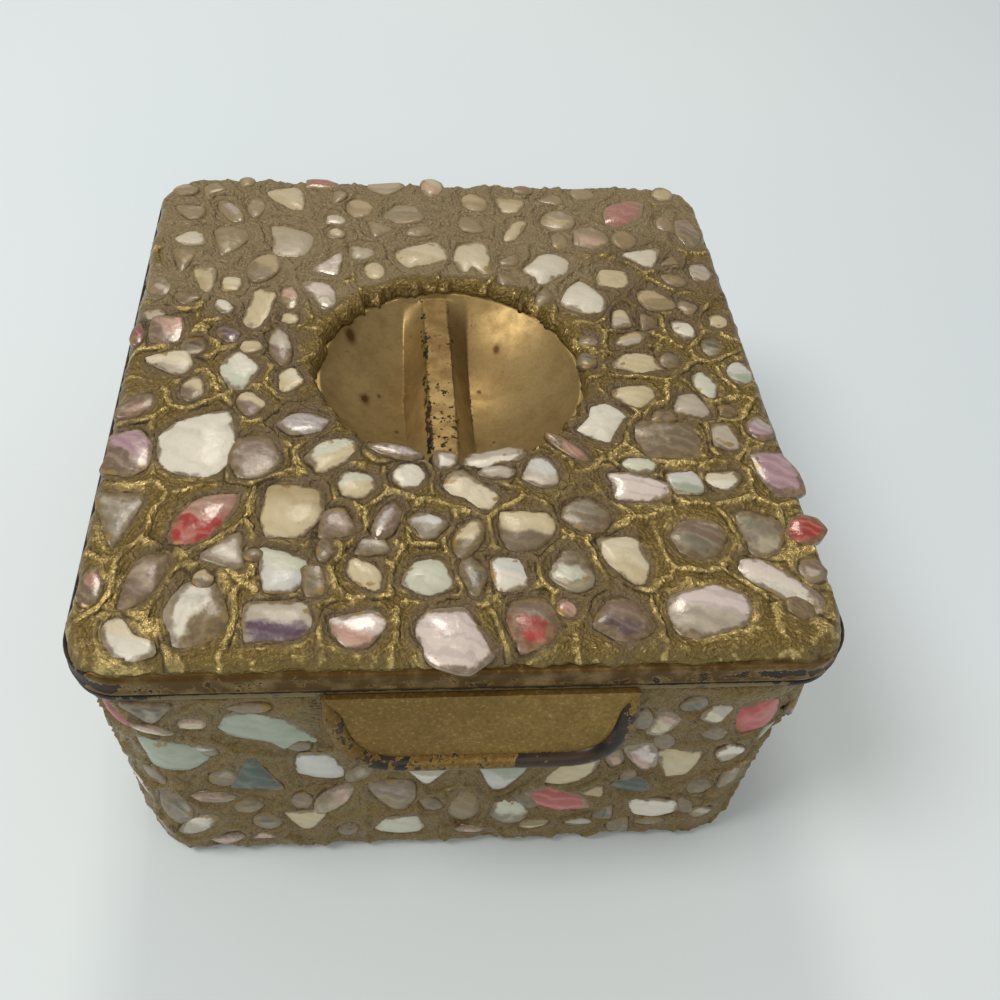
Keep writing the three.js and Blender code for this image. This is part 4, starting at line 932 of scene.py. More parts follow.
def buildTinBody():
    neck, corner, sheet = tin["neckInset"], tin["lidCorner"], tin["sheet"]
    seat, bead = tin["seat"], tin["beadHeight"]
    base = neck + tin["wallTaper"]
    foot = tin["baseRound"]
    rings = []
    for angle in range(0, 91, 15):
        turn = math.radians(angle)
        inward = foot * (1 - math.sin(turn))
        rings.append(ringOf(base + inward, tin["wallCorner"] - inward, foot * (1 - math.cos(turn))))
    rings.append(ringOf(neck, tin["wallCorner"], seat - bead))
    for angle in range(0, 181, 30):
        turn = math.radians(angle)
        z = seat - bead / 2 - bead / 2 * math.cos(turn)
        out = tin["beadShy"] + 0.35 * (1 - math.sin(turn))
        rings.append(ringOf(out, corner - out, z))
    rings += [ringOf(neck, corner - neck, seat), ringOf(neck, corner - neck, seat + tin["neckHeight"])]
    rings += [ringOf(neck + sheet, corner - neck - sheet, seat + tin["neckHeight"])]
    rings += [ringOf(neck + sheet, corner - neck - sheet, seat - sheet)]
    rings += [ringOf(neck + sheet, tin["wallCorner"] - sheet, seat - bead)]
    rings += [ringOf(base + sheet, tin["wallCorner"] - sheet, foot), ringOf(base + foot, tin["wallCorner"] - foot, sheet)]
    count = len(rings[0])
    points = np.concatenate(rings)
    faces = gridFaces(len(rings), count)
    faces.append(list(reversed(range(count))))
    faces.append([len(points) - count + i for i in range(count)])
    onBead = (np.abs(points[:, 2] - seat + bead / 2) < bead / 2 + 0.05) & (np.hypot(*(points[:, :2] / [tin["halfWidth"], tin["halfDepth"]]).T) > 0.95)
    rubbed = 0.34 * (1 - smoothStep(36, 50, np.abs(points[:, 0])))
    scuffed = np.where(onBead & (points[:, 2] < seat - 0.2), rubbed, 0.0)
    return meshPiece("tin_body_japanned", points, faces, {"scuffed": scuffed}, 40)


tab = {"roll": 2.9, "sheet": 0.8, "corner": 7.2, "leftNarrowing": 3.6, "rightNarrowing": 1.8, "lean": 2.0, "drop": 12.6, "proud": 0.5, "rise": 1.0, "thinning": 4.5,
       "steps": 150, "levels": 14, "around": 16}


def buildTab():
    left, right = tabLow[0] + tab["roll"] / 2, tabHigh[0] - tab["roll"] / 2
    hang = tin["seat"] - tin["beadHeight"]
    top, foot = hang + tab["rise"], hang - tab["drop"]
    corners = np.array([[left, top], [left + tab["leftNarrowing"], foot], [right - tab["rightNarrowing"], foot], [right, top]])
    path = [corners[0]]
    for k in (1, 2):
        before, after = corners[k - 1] - corners[k], corners[k + 1] - corners[k]
        into = corners[k] + before / np.linalg.norm(before) * tab["corner"]
        outOf = corners[k] + after / np.linalg.norm(after) * tab["corner"]
        path += [(1 - t) ** 2 * into + 2 * t * (1 - t) * corners[k] + t * t * outOf for t in np.linspace(0, 1, 14)]
    path = np.array(path + [corners[3]])
    steps, levels, around = tab["steps"], tab["levels"], tab["around"]
    along = np.concatenate([[0], np.cumsum(np.hypot(*np.diff(path, axis=0).T))])
    spots = np.linspace(0, along[-1], steps)
    path = np.stack([np.interp(spots, along, path[:, k]) for k in (0, 1)], 1)
    ahead = np.gradient(path, axis=0)
    ahead /= np.hypot(*ahead.T)[:, None]
    outward = np.stack([ahead[:, 1], -ahead[:, 0]], 1)

    def stand(flat, out):
        # the tab leans out towards its foot
        y = -tin["halfDepth"] - tab["proud"] - tab["lean"] * (hang - flat[:, 1]) / tab["drop"] - out
        return np.stack([flat[:, 0], y, flat[:, 1]], 1)

    # the sheet: rows from the bead up to the top edge, once in front and once behind
    edge = np.stack([np.linspace(left, right, steps), np.full(steps, top)], 1)
    rows = [path * (1 - share) + edge * share for share in np.linspace(0, 1, levels)]
    front = [stand(row, tab["sheet"] / 2) for row in rows]
    behind = [stand(row, -tab["sheet"] / 2) for row in reversed(rows)]
    points = np.concatenate(front + behind)
    faces = []
    for row in range(2 * levels):
        here, there = row * steps, (row + 1) % (2 * levels) * steps
        faces += [[here + i, here + i + 1, there + i + 1, there + i] for i in range(steps - 1)]
    # the bead rolled from its rim
    start = len(points)
    radius = tab["roll"] / 2
    turns = [2 * math.pi * k / around for k in range(around)]
    fromEnd = np.minimum(spots, along[-1] - spots)
    thickness = (radius * (0.3 + 0.7 * smoothStep(0, tab["thinning"], fromEnd)))[:, None]
    tube = np.stack([
        stand(path + outward * thickness * math.cos(turn), thickness[:, 0] * math.sin(turn)) for turn in turns
    ], 1)
    points = np.concatenate([points, tube.reshape(-1, 3)])
    for i in range(steps - 1):
        for k in range(around):
            a, b = start + i * around + k, start + i * around + (k + 1) % around
            faces.append([a, a + around, b + around, b])
    faces.append([start + k for k in range(around)])
    faces.append([len(points) - around + k for k in reversed(range(around))])
    onRoll = np.arange(len(points)) >= start
    fields = {"wear": tabWear(points, onRoll), "tarnish": np.where(onRoll, 0.3, 0.0), "flecked": np.where(onRoll, 0.9, 0.0)}
    piece = meshPiece("front_tab_painted", points, faces, fields, 50)
    tidy = bmesh.new()
    tidy.from_mesh(piece.data)
    bmesh.ops.remove_doubles(tidy, verts=tidy.verts, dist=0.01 * mm)
    bmesh.ops.dissolve_degenerate(tidy, dist=0.005 * mm, edges=tidy.edges)
    bmesh.ops.recalc_face_normals(tidy, faces=tidy.faces)
    tidy.to_mesh(piece.data)
    tidy.free()
    return piece


def tabWear(points, onRoll):
    # the bead: blotched on the left, gold in the middle, rubbed to its dark undercoat on the right
    x, y, z = points.T
    foot = tin["seat"] - tin["beadHeight"] - tab["drop"]
    upper = smoothStep(foot - 0.5, foot + 0.4, z)
    blotched = smoothStep(-17, -13, x) * (1 - smoothStep(-3, 1, x)) * (0.5 + 0.16 * upper)
    rubbed = smoothStep(4, 9, x) * (1 - smoothStep(tabHigh[0] - 3, tabHigh[0] - 1, x)) * (0.7 + 0.2 * upper)
    roll = np.maximum(np.maximum(blotched, rubbed), 0.46)
    nearRoll = (1 - smoothStep(foot + 1.2, foot + 2.8, z)) * smoothStep(-18, -12, x) * (1 - smoothStep(12, 20, x)) * 0.62
    return np.where(onRoll, roll, np.maximum(nearRoll, 0.16))


# ---- materials ----
def newMaterial(name):
    material = bpy.data.materials.new(name)
    material.use_nodes = True
    tree = material.node_tree
    tree.nodes.clear()
    output = addNode(tree, "ShaderNodeOutputMaterial")
    shader = addNode(tree, "ShaderNodeBsdfPrincipled")
    tree.links.new(shader.outputs[0], output.inputs["Surface"])
    return material, tree, shader


def mixColours(tree, share, one, other, blend="MIX"):
    node = addNode(tree, "ShaderNodeMix", {"data_type": "RGBA", "blend_type": blend})
    for index, value in ((0, share), (6, one), (7, other)):
        if isinstance(value, bpy.types.NodeSocket):
            tree.links.new(value, node.inputs[index])
        else:
            node.inputs[index].default_value = value
    return node.outputs[2]


def reckon(tree, operation, *values, clamp=False):
    node = addNode(tree, "ShaderNodeMath", {"operation": operation, "use_clamp": clamp})
    for index, value in enumerate(values):
        if isinstance(value, bpy.types.NodeSocket):
            tree.links.new(value, node.inputs[index])
        else:
            node.inputs[index].default_value = value
    return node.outputs[0]


def spread(tree, value, low, high, toLow=0.0, toHigh=1.0):
    node = addNode(tree, "ShaderNodeMapRange", {"interpolation_type": "SMOOTHSTEP"},
                   {"From Min": low, "From Max": high, "To Min": toLow, "To Max": toHigh}, {"Value": value})
    return node.outputs[0]


def grain(tree, sizeMm, detail=3.0, rough=0.55, coordinates=None, kind="ShaderNodeTexNoise"):
    # a random pattern whose lumps are about this size
    place = coordinates or addNode(tree, "ShaderNodeTexCoord").outputs["Object"]
    node = addNode(tree, kind, None, {"Scale": 1 / (sizeMm * mm) * 0.5}, {"Vector": place})
    if kind == "ShaderNodeTexNoise":
        node.inputs["Detail"].default_value = detail
        node.inputs["Roughness"].default_value = rough
    return node.outputs[0]


def field(tree, name, output="Fac"):
    return addNode(tree, "ShaderNodeAttribute", {"attribute_name": name}).outputs[output]


# Bronze powder in varnish, brushed over putty: dull olive gold that is bright where hands have rubbed it
# and on the crests, where a highlight is painted in; brown and wet-looking round the shell; darker in every hollow with
# grime, old wax and painted shade, and with painted shadow lines in the cracks and round the chips
# rubbed is the bright gold on worn crests together with a painted highlight; the dark of the hollows and of the shadow
# lines is grime with painted shade
goldLook = {
    "rubbed": "#d0b87a", "gold": "#7f6b39", "sootAndShade": "#271d12",
    "crinkle": 0.5, "grit": 0.2, "relief": 0.5, "crack": 0.16, "contour": 0.62,
}
# how far the gold has lasted, how strong the painted shadow lines are and how much brown glue stands open; the far
# colour is the paler, duller putty painted towards the back of the lid as painted light
lidPaint = {"name": "bronze_painted_putty", "dull": "#705e38", "stain": "#6f5d44", "far": "#8b7a58", "lasting": 0.0, "lines": 0.8, "glue": 0.0}
wallPaint = {"name": "bare_brown_putty", "dull": "#7c6836", "stain": "#7f6a40", "far": "#7f6a40", "lasting": -0.15, "lines": 0.4, "glue": 1.2}


def goldPutty(paint):
    material, tree, shader = newMaterial(paint["name"])
    rise = field(tree, "relief")
    away = field(tree, "awayFromChip")
    seam = field(tree, "seam")
    place = addNode(tree, "ShaderNodeTexCoord").outputs["Object"]
    patches = grain(tree, 3.0, 4.0, 0.6)
    speckle = grain(tree, 0.6, 4.0, 0.65)
    broken = grain(tree, 1.9, 3.0, 0.6)
    crumple = addNode(tree, "ShaderNodeTexNoise", {"noise_type": "RIDGED_MULTIFRACTAL"},
                      {"Scale": 0.5 / (goldLook["crinkle"] * mm), "Detail": 3.0, "Roughness": 0.5, "Offset": 0.9, "Gain": 1.4},
                      {"Vector": place}).outputs[0]
    grit = grain(tree, goldLook["grit"], 2.0, 0.7)
    uneven = reckon(tree, "SUBTRACT", speckle, 0.5)
    # the gold is brighter along the front of the lid and behind the dish, and duller and paler at the back: painted
    # light for how the light falls on the lid from front to back, laid over patches of worn gold
    gilding = field(tree, "gilding")
    wayOff = spread(tree, away, 0.3, 1.5, paint["lasting"] - 0.1, paint["lasting"] + 0.04)
    rubAndLight = reckon(tree, "ADD", reckon(tree, "ADD", patches, gilding), wayOff)
    golden = spread(tree, rubAndLight, 0.43, 0.6)
    dull = mixColours(tree, spread(tree, gilding, -0.02, -0.14), linear(paint["dull"]), linear(paint["far"]))
    body = mixColours(tree, golden, dull, linear(goldLook["gold"]))
    lift = reckon(tree, "ADD", rise, reckon(tree, "MULTIPLY", uneven, 0.8))
    # raised crests lighten to bright gold: rubbed gold with a painted highlight
    crest = reckon(tree, "MULTIPLY", spread(tree, lift, 0.06, 0.3), spread(tree, rubAndLight, 0.44, 0.6, 0.05, 1.0))
    body = mixColours(tree, crest, body, linear(goldLook["rubbed"]))
    # brown glue stands wet-looking round each chip, broken up
    reach = reckon(tree, "ADD", away, reckon(tree, "MULTIPLY", broken, 3.0))
    reach = reckon(tree, "ADD", reach, reckon(tree, "MULTIPLY", gilding, 8.0))
    ring = spread(tree, reach, 2.6 + paint["glue"], 1.7 + paint["glue"])
    stain = mixColours(tree, spread(tree, gilding, -0.02, -0.14), linear(paint["stain"]), linear(paint["far"]))
    body = mixColours(tree, reckon(tree, "MULTIPLY", ring, 0.85), body, stain)
    # the hollows darken: grime with painted shade
    pit = spread(tree, reckon(tree, "ADD", rise, reckon(tree, "MULTIPLY", uneven, 0.6)), -0.1, -0.45)
    # fine dark lines of painted shadow: along the seams between cells, round the chips and hard against them
    wavering = reckon(tree, "ADD", seam, reckon(tree, "MULTIPLY", uneven, 1.2))
    seamShadowLine = spread(tree, reckon(tree, "ABSOLUTE", reckon(tree, "SUBTRACT", wavering, putty["crackSide"])), goldLook["crack"] * 2.4, goldLook["crack"] * 0.6)
    seamShadowLine = reckon(tree, "MULTIPLY", seamShadowLine, reckon(tree, "MULTIPLY", spread(tree, broken, 0.42, 0.54), spread(tree, away, 2.6, 1.6)))
    rounds = reckon(tree, "SINE", reckon(tree, "ADD", reckon(tree, "MULTIPLY", away, 2 * math.pi / goldLook["contour"]), reckon(tree, "MULTIPLY", broken, 16.0)))
    ringShadowLine = reckon(tree, "MULTIPLY", spread(tree, rounds, 0.55, 1.0), spread(tree, patches, 0.5, 0.62))
    edgeShadowLine = spread(tree, reckon(tree, "ABSOLUTE", reckon(tree, "SUBTRACT", away, reckon(tree, "MULTIPLY", speckle, 0.4))), 0.26, 0.06)
    edgeShadowLine = reckon(tree, "MULTIPLY", edgeShadowLine, spread(tree, broken, 0.44, 0.62, 0.0, 0.8))
    lines = reckon(tree, "MAXIMUM", seamShadowLine, reckon(tree, "MAXIMUM", edgeShadowLine, reckon(tree, "MULTIPLY", ringShadowLine, 0.45)))
    lines = reckon(tree, "MULTIPLY", lines, spread(tree, gilding, -0.13, 0.0, paint["lines"] * 0.5, paint["lines"]))
    shadeAndGrime = reckon(tree, "MAXIMUM", reckon(tree, "MULTIPLY", pit, 0.9), lines)
    body = mixColours(tree, reckon(tree, "MULTIPLY", shadeAndGrime, 0.85), body, linear(goldLook["sootAndShade"]))
    tree.links.new(body, shader.inputs["Base Color"])
    shine = reckon(tree, "ADD", spread(tree, speckle, 0.3, 0.7, 0.4, 0.28), reckon(tree, "MULTIPLY", shadeAndGrime, 0.25))
    shine = reckon(tree, "SUBTRACT", shine, reckon(tree, "MULTIPLY", ring, 0.08))
    tree.links.new(shine, shader.inputs["Roughness"])
    metal = reckon(tree, "ADD", reckon(tree, "MULTIPLY", crest, 0.45), reckon(tree, "MULTIPLY", golden, 0.45))
    metal = reckon(tree, "MULTIPLY", metal, reckon(tree, "SUBTRACT", 1.0, reckon(tree, "MAXIMUM", shadeAndGrime, ring)), clamp=True)
    tree.links.new(metal, shader.inputs["Metallic"])
    lumps = reckon(tree, "ADD", reckon(tree, "MULTIPLY", crumple, 0.34), reckon(tree, "MULTIPLY", speckle, 0.75))
    lumps = reckon(tree, "ADD", lumps, reckon(tree, "MULTIPLY", grit, 0.4))
    lumps = reckon(tree, "ADD", lumps, reckon(tree, "MULTIPLY", rounds, -0.07))
    lumps = reckon(tree, "SUBTRACT", lumps, reckon(tree, "MULTIPLY", lines, 0.45))
    bump = addNode(tree, "ShaderNodeBump", None, {"Strength": 0.95, "Distance": goldLook["relief"] * mm}, {"Height": lumps})
    tree.links.new(bump.outputs[0], shader.inputs["Normal"])
    shader.inputs["Specular IOR Level"].default_value = 0.4
    return material


# Gold lacquer on tinplate: smooth and warm, with brushed-on streaks, dark freckles and
# flakes gone down to the black undercoat where "wear" is high
def goldTin(name, speckled=0.0, lacquer=("#947c50", "#ab9465"), polish=0.0):
    material, tree, shader = newMaterial(name)
    wear = field(tree, "wear")
    tarnish = field(tree, "tarnish")
    cloud = grain(tree, 12.0, 3.0)
    streak = grain(tree, 1.6, 5.0, 0.6)
    flake = grain(tree, 1.0, 6.0, 0.7)
    freckle = grain(tree, 1.7, 2.0, 0.5)
    dust = grain(tree, 0.28, 3.0, 0.7)
    body = mixColours(tree, spread(tree, cloud, 0.35, 0.65), linear(lacquer[0]), linear(lacquer[1]))
    body = mixColours(tree, spread(tree, streak, 0.4, 0.7, 0.0, 0.35), body, linear("#6f5a30"))
    body = mixColours(tree, spread(tree, dust, 0.45, 0.75, 0.0, 0.25 + speckled), body, linear("#4e4024"))
    body = mixColours(tree, spread(tree, dust, 0.44, 0.3, 0.0, speckled), body, linear("#cbb27c"))
    body = mixColours(tree, reckon(tree, "MULTIPLY", tarnish, spread(tree, streak, 0.3, 0.6, 0.55, 1.0)), body, linear("#573f1c"))
    spots = spread(tree, freckle, 0.72, 0.76)
    body = mixColours(tree, reckon(tree, "MULTIPLY", spots, 0.8), body, linear("#3a2f1c"))
    worn = reckon(tree, "ADD", flake, reckon(tree, "MULTIPLY", reckon(tree, "SUBTRACT", wear, 0.5), 0.5))
    fleck = reckon(tree, "ADD", grain(tree, 0.42, 3.0, 0.6), reckon(tree, "MULTIPLY", reckon(tree, "SUBTRACT", field(tree, "flecked"), 1.0), 0.5))
    gone = reckon(tree, "MAXIMUM", spread(tree, worn, 0.56, 0.58), spread(tree, fleck, 0.56, 0.6))
    edge = spread(tree, worn, 0.52, 0.56)
    body = mixColours(tree, reckon(tree, "MULTIPLY", edge, 0.45), body, linear("#b99a55"))
    under = mixColours(tree, spread(tree, streak, 0.4, 0.6), linear("#170d05"), linear("#38250d"))
    body = mixColours(tree, gone, body, under)
    tree.links.new(body, shader.inputs["Base Color"])
    shine = reckon(tree, "ADD", spread(tree, streak, 0.3, 0.7, 0.36, 0.48), reckon(tree, "MULTIPLY", gone, 0.05 - 0.22 * polish))
    tree.links.new(shine, shader.inputs["Roughness"])
    tree.links.new(reckon(tree, "SUBTRACT", 0.66, reckon(tree, "MULTIPLY", gone, 0.66)), shader.inputs["Metallic"])
    shader.inputs["Specular IOR Level"].default_value = 0.2 + 0.5 * polish
    height = reckon(tree, "ADD", reckon(tree, "MULTIPLY", gone, -0.5), reckon(tree, "MULTIPLY", dust, 0.12 + speckled * 0.5))
    height = reckon(tree, "ADD", height, reckon(tree, "MULTIPLY", cloud, 1.2))
    bump = addNode(tree, "ShaderNodeBump", None, {"Strength": 0.5, "Distance": 0.12 * mm}, {"Height": height})
    tree.links.new(bump.outputs[0], shader.inputs["Normal"])
    return material


# Japanned tinplate: baked black varnish, scuffed grey along its edges
def japannedTin():
    material, tree, shader = newMaterial("japanned_tinplate")
    cloud = grain(tree, 6.0, 4.0)
    scuff = grain(tree, 0.9, 5.0, 0.7)
    body = mixColours(tree, spread(tree, cloud, 0.35, 0.65), linear("#0d0a07"), linear("#221a11"))
    body = mixColours(tree, spread(tree, scuff, 0.6, 0.72, 0.0, 0.5), body, linear("#4d4438"))
    bare = spread(tree, reckon(tree, "ADD", scuff, field(tree, "scuffed")), 0.66, 0.76, 0.0, 0.8)
    body = mixColours(tree, bare, body, linear("#84724a"))
    tree.links.new(body, shader.inputs["Base Color"])
    tree.links.new(spread(tree, scuff, 0.3, 0.7, 0.3, 0.5), shader.inputs["Roughness"])
    shader.inputs["Metallic"].default_value = 0.0
    shader.inputs["Specular IOR Level"].default_value = 0.22
    bump = addNode(tree, "ShaderNodeBump", None, {"Strength": 0.3, "Distance": 0.1 * mm}, {"Height": scuff})
    tree.links.new(bump.outputs[0], shader.inputs["Normal"])
    return material


shellFinish = {
    "opaque": {"rough": 0.34, "bands": 0.07, "mottle": 0.14, "coat": 0.15, "within": 0.3, "border": 0.45, "borderShare": 0.9},
    "nacre": {"rough": 0.2, "bands": 0.16, "mottle": 0.16, "coat": 0.55, "within": 0.2, "border": 0.7, "borderShare": 0.85},
    "clear": {"rough": 0.3, "bands": 0.1, "mottle": 0.34, "coat": 0.25, "within": 0.05, "border": 1.2, "borderShare": 0.8},
}
shellLook = {"border": "#6c5a3f", "clearer": "#887552", "smear": "#9a7d3e", "dark": "#382b1b", "light": "#dfd3b8", "pore": "#6b5a3f", "farLightWash": "#a5946f"}


# Broken sea shell, worn smooth: opaque limy pieces, mother-of-pearl with growth bands, and
# thin smoky pieces that show the dark putty under them. Each one clears to a smoky border
def shell(finish):
    values = shellFinish[finish]
    names = {"opaque": "limy_shell_worn_smooth", "nacre": "mother_of_pearl_polished", "clear": "smoky_shell_thin"}
    material, tree, shader = newMaterial(names[finish])
    spot = addNode(tree, "ShaderNodeAttribute", {"attribute_name": "chipSpot"})
    parts = addNode(tree, "ShaderNodeSeparateXYZ", None, None, {"Vector": spot.outputs["Vector"]})
    across, back, mark = parts.outputs
    soft = grain(tree, 2.2, 3.0)
    fine = grain(tree, 0.6, 4.0, 0.6)
    # where the front tone takes over from the back tone
    line = reckon(tree, "ADD", back, reckon(tree, "MULTIPLY", reckon(tree, "SUBTRACT", soft, 0.5), 1.4))
    line = reckon(tree, "ADD", line, reckon(tree, "MULTIPLY", across, 0.3))
    front = spread(tree, line, 0.16, -0.16)
    body = mixColours(tree, front, field(tree, "toneBack", "Color"), field(tree, "toneFront", "Color"))
    # growth bands, bent by the soft pattern
    course = reckon(tree, "ADD", reckon(tree, "MULTIPLY", back, 1.6), reckon(tree, "MULTIPLY", across, 0.7))
    course = reckon(tree, "ADD", course, reckon(tree, "MULTIPLY", soft, 2.2))
    bands = reckon(tree, "SINE", reckon(tree, "MULTIPLY", reckon(tree, "ADD", course, mark), 7.0))
    body = mixColours(tree, spread(tree, bands, 0.2, 1.0, 0.0, values["bands"]), body, linear(shellLook["light"]))
    body = mixColours(tree, spread(tree, bands, -0.2, -1.0, 0.0, values["bands"]), body, linear(shellLook["dark"]))
    body = mixColours(tree, spread(tree, soft, 0.54, 0.7, 0.0, values["mottle"]), body, linear(shellLook["light"]))
    body = mixColours(tree, spread(tree, soft, 0.48, 0.3, 0.0, values["mottle"]), body, linear(shellLook["dark"]))
    pores = spread(tree, fine, 0.68, 0.76, 0.0, 0.5)
    body = mixColours(tree, pores, body, linear(shellLook["pore"]))
    # how far a place is from the chip's edge, in mm, with a wavering line
    inward = reckon(tree, "MULTIPLY", reckon(tree, "SUBTRACT", 1.0, field(tree, "chipEdge")), field(tree, "chipRadius"))
    waver = reckon(tree, "ADD", inward, reckon(tree, "MULTIPLY", reckon(tree, "SUBTRACT", soft, 0.5), 3.6))
    waver = reckon(tree, "ADD", waver, reckon(tree, "MULTIPLY", reckon(tree, "SUBTRACT", fine, 0.5), 0.8))
    border = spread(tree, waver, values["border"] + 0.25, values["border"] - 0.3, 0.0, values["borderShare"])
    glue = mixColours(tree, spread(tree, fine, 0.4, 0.62), linear(shellLook["border"]), linear(shellLook["clearer"]))
    body = mixColours(tree, border, body, glue)
    smeared = spread(tree, reckon(tree, "SUBTRACT", grain(tree, 1.3, 4.0, 0.6), reckon(tree, "MULTIPLY", inward, 0.07)), 0.56, 0.6)
    body = mixColours(tree, reckon(tree, "MULTIPLY", smeared, 0.75), body, linear(shellLook["smear"]))
    # chips further back are washed towards a dull cream: painted light for the flatter light on the back of the lid
    place = addNode(tree, "ShaderNodeTexCoord").outputs["Object"]
    y = addNode(tree, "ShaderNodeSeparateXYZ", None, None, {"Vector": place}).outputs["Y"]
    body = mixColours(tree, spread(tree, y, 0.0, 48 * mm, 0.0, 0.45), body, linear(shellLook["farLightWash"]))
    # darker near the chip's edge, where it meets the putty: painted shade with grime
    shadeAndGrime = spread(tree, reckon(tree, "ADD", inward, reckon(tree, "MULTIPLY", soft, 0.9)), 0.56, 0.3, 0.0, 0.3)
    body = mixColours(tree, shadeAndGrime, body, linear(shellLook["dark"]))
    tree.links.new(body, shader.inputs["Base Color"])
    shine = reckon(tree, "ADD", spread(tree, fine, 0.35, 0.7, values["rough"], values["rough"] + 0.14), reckon(tree, "MULTIPLY", smeared, 0.2))
    tree.links.new(shine, shader.inputs["Roughness"])
    tree.links.new(reckon(tree, "MULTIPLY", smeared, 0.5), shader.inputs["Metallic"])
    shader.inputs["IOR"].default_value = 1.53
    shader.inputs["Coat Weight"].default_value = values["coat"]
    shader.inputs["Coat Roughness"].default_value = 0.1
    shader.inputs["Subsurface Weight"].default_value = values["within"]
    shader.inputs["Subsurface Radius"].default_value = (1.0, 0.85, 0.7)
    shader.inputs["Subsurface Scale"].default_value = 0.7 * mm
    dents = reckon(tree, "ADD", reckon(tree, "MULTIPLY", soft, 1.4), reckon(tree, "MULTIPLY", fine, 0.3))
    bump = addNode(tree, "ShaderNodeBump", None, {"Strength": 0.6, "Distance": 0.4 * mm}, {"Height": dents})
    tree.links.new(bump.outputs[0], shader.inputs["Normal"])
    return material


print("making the materials")
lidPuttyMaterial = goldPutty(lidPaint)
wallPuttyMaterial = goldPutty(wallPaint)
lidMaterial = goldTin("gold_lacquered_tinplate")
tabMaterial = goldTin("gold_lacquered_tab", 0.34, ("#7d612c", "#8c7036"), 0.45)
japanMaterial = japannedTin()
shellMaterials = {finish: shell(finish) for finish in shellFinish}


def dress(piece, material, slot, *nodes):
    piece.data.materials.clear()
    piece.data.materials.append(material)
    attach(piece, "root")
    if nodes:
        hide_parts(*nodes)
    return piece


# ---- chips by Geometry Nodes ----
def settingTree():
    # sets one broken form on each point: turned and sized as the point says, and leaned a little at random
    tree = bpy.data.node_groups.new("set_chips", "GeometryNodeTree")
    sockets = {}
    for name, kind in (("Points", "NodeSocketGeometry"), ("Forms", "NodeSocketCollection"), ("Lean", "NodeSocketFloat"),
                       ("Thickness", "NodeSocketFloat"), ("Seed", "NodeSocketInt"), ("Material", "NodeSocketMaterial")):
        sockets[name] = tree.interface.new_socket(name, in_out="INPUT", socket_type=kind)
    tree.interface.new_socket("Chips", in_out="OUTPUT", socket_type="NodeSocketGeometry")
    given = addNode(tree, "NodeGroupInput").outputs
    forms = addNode(tree, "GeometryNodeCollectionInfo", {"transform_space": "ORIGINAL"},
                    {"Separate Children": True, "Reset Children": True}, {"Collection": given["Forms"]})
    size = addNode(tree, "GeometryNodeInputNamedAttribute", {"data_type": "FLOAT_VECTOR"}, {"Name": "chipSize"})
    facing = addNode(tree, "GeometryNodeInputNamedAttribute", {"data_type": "FLOAT_VECTOR"}, {"Name": "facing"})
    which = addNode(tree, "GeometryNodeInputNamedAttribute", {"data_type": "INT"}, {"Name": "form"})
    stretch = addNode(tree, "ShaderNodeCombineXYZ", None, {"X": 1.0, "Y": 1.0}, {"Z": given["Thickness"]})
    sized = addNode(tree, "ShaderNodeVectorMath", {"operation": "MULTIPLY"}, None,
                    {0: size.outputs["Attribute"], 1: stretch.outputs[0]})
    turned = addNode(tree, "FunctionNodeEulerToRotation", None, None, {0: facing.outputs["Attribute"]})
    placed = addNode(tree, "GeometryNodeInstanceOnPoints", None, {"Pick Instance": True},
                     {"Points": given["Points"], "Instance": forms.outputs[0], "Instance Index": which.outputs["Attribute"],
                      "Rotation": turned.outputs[0], "Scale": sized.outputs[0]})
    least = addNode(tree, "ShaderNodeMath", {"operation": "MULTIPLY"}, {1: -1.0}, {0: given["Lean"]})
    low = addNode(tree, "ShaderNodeCombineXYZ", None, None, {"X": least.outputs[0], "Y": least.outputs[0]})
    high = addNode(tree, "ShaderNodeCombineXYZ", None, None, {"X": given["Lean"], "Y": given["Lean"]})
    tilt = addNode(tree, "FunctionNodeRandomValue", {"data_type": "FLOAT_VECTOR"}, None,
                   {"Min": low.outputs[0], "Max": high.outputs[0], "Seed": given["Seed"]})
    tiltTurn = addNode(tree, "FunctionNodeEulerToRotation", None, None, {0: tilt.outputs["Value"]})
    leaned = addNode(tree, "GeometryNodeRotateInstances", None, {"Local Space": True},
                     {"Instances": placed.outputs[0], "Rotation": tiltTurn.outputs[0]})
    real = addNode(tree, "GeometryNodeRealizeInstances", None, None, {"Geometry": leaned.outputs[0]})
    smooth = addNode(tree, "GeometryNodeSetShadeSmooth", None, None, {"Geometry": real.outputs[0]})
    painted = addNode(tree, "GeometryNodeSetMaterial", None, None,
                      {"Geometry": smooth.outputs[0], "Material": given["Material"]})
    addNode(tree, "NodeGroupOutput", None, None, {"Chips": painted.outputs[0]})
    return tree, {name: socket.identifier for name, socket in sockets.items()}


blankForms = bpy.data.collections.new("broken_forms")
blankNames = []


def buildBlanks():
    # one chip of each form, 2 mm across, for the nodes to set
    for i, form in enumerate(chipForms):
        chip = Chip(None, 0, 0, (2, 2), 0, form, ("white", "white"), 16, 3000 + i)
        chip.outline = roundedOutline(form, 2, 2, 0, 16)
        chip.reach = 3.0
        points, faces, fields = chipMesh(chip, lambda u, v, h: np.stack([u, v, h], -1), (0.45, 0.8, 0.95))
        fields = {key: values for key, values in fields.items() if key in ("chipSpot", "chipEdge")}
        blank = meshPiece(f"form_{i:02d}", points, faces, fields)
        bpy.context.scene.collection.objects.unlink(blank)
        blankForms.objects.link(blank)
        blankNames.append(form)


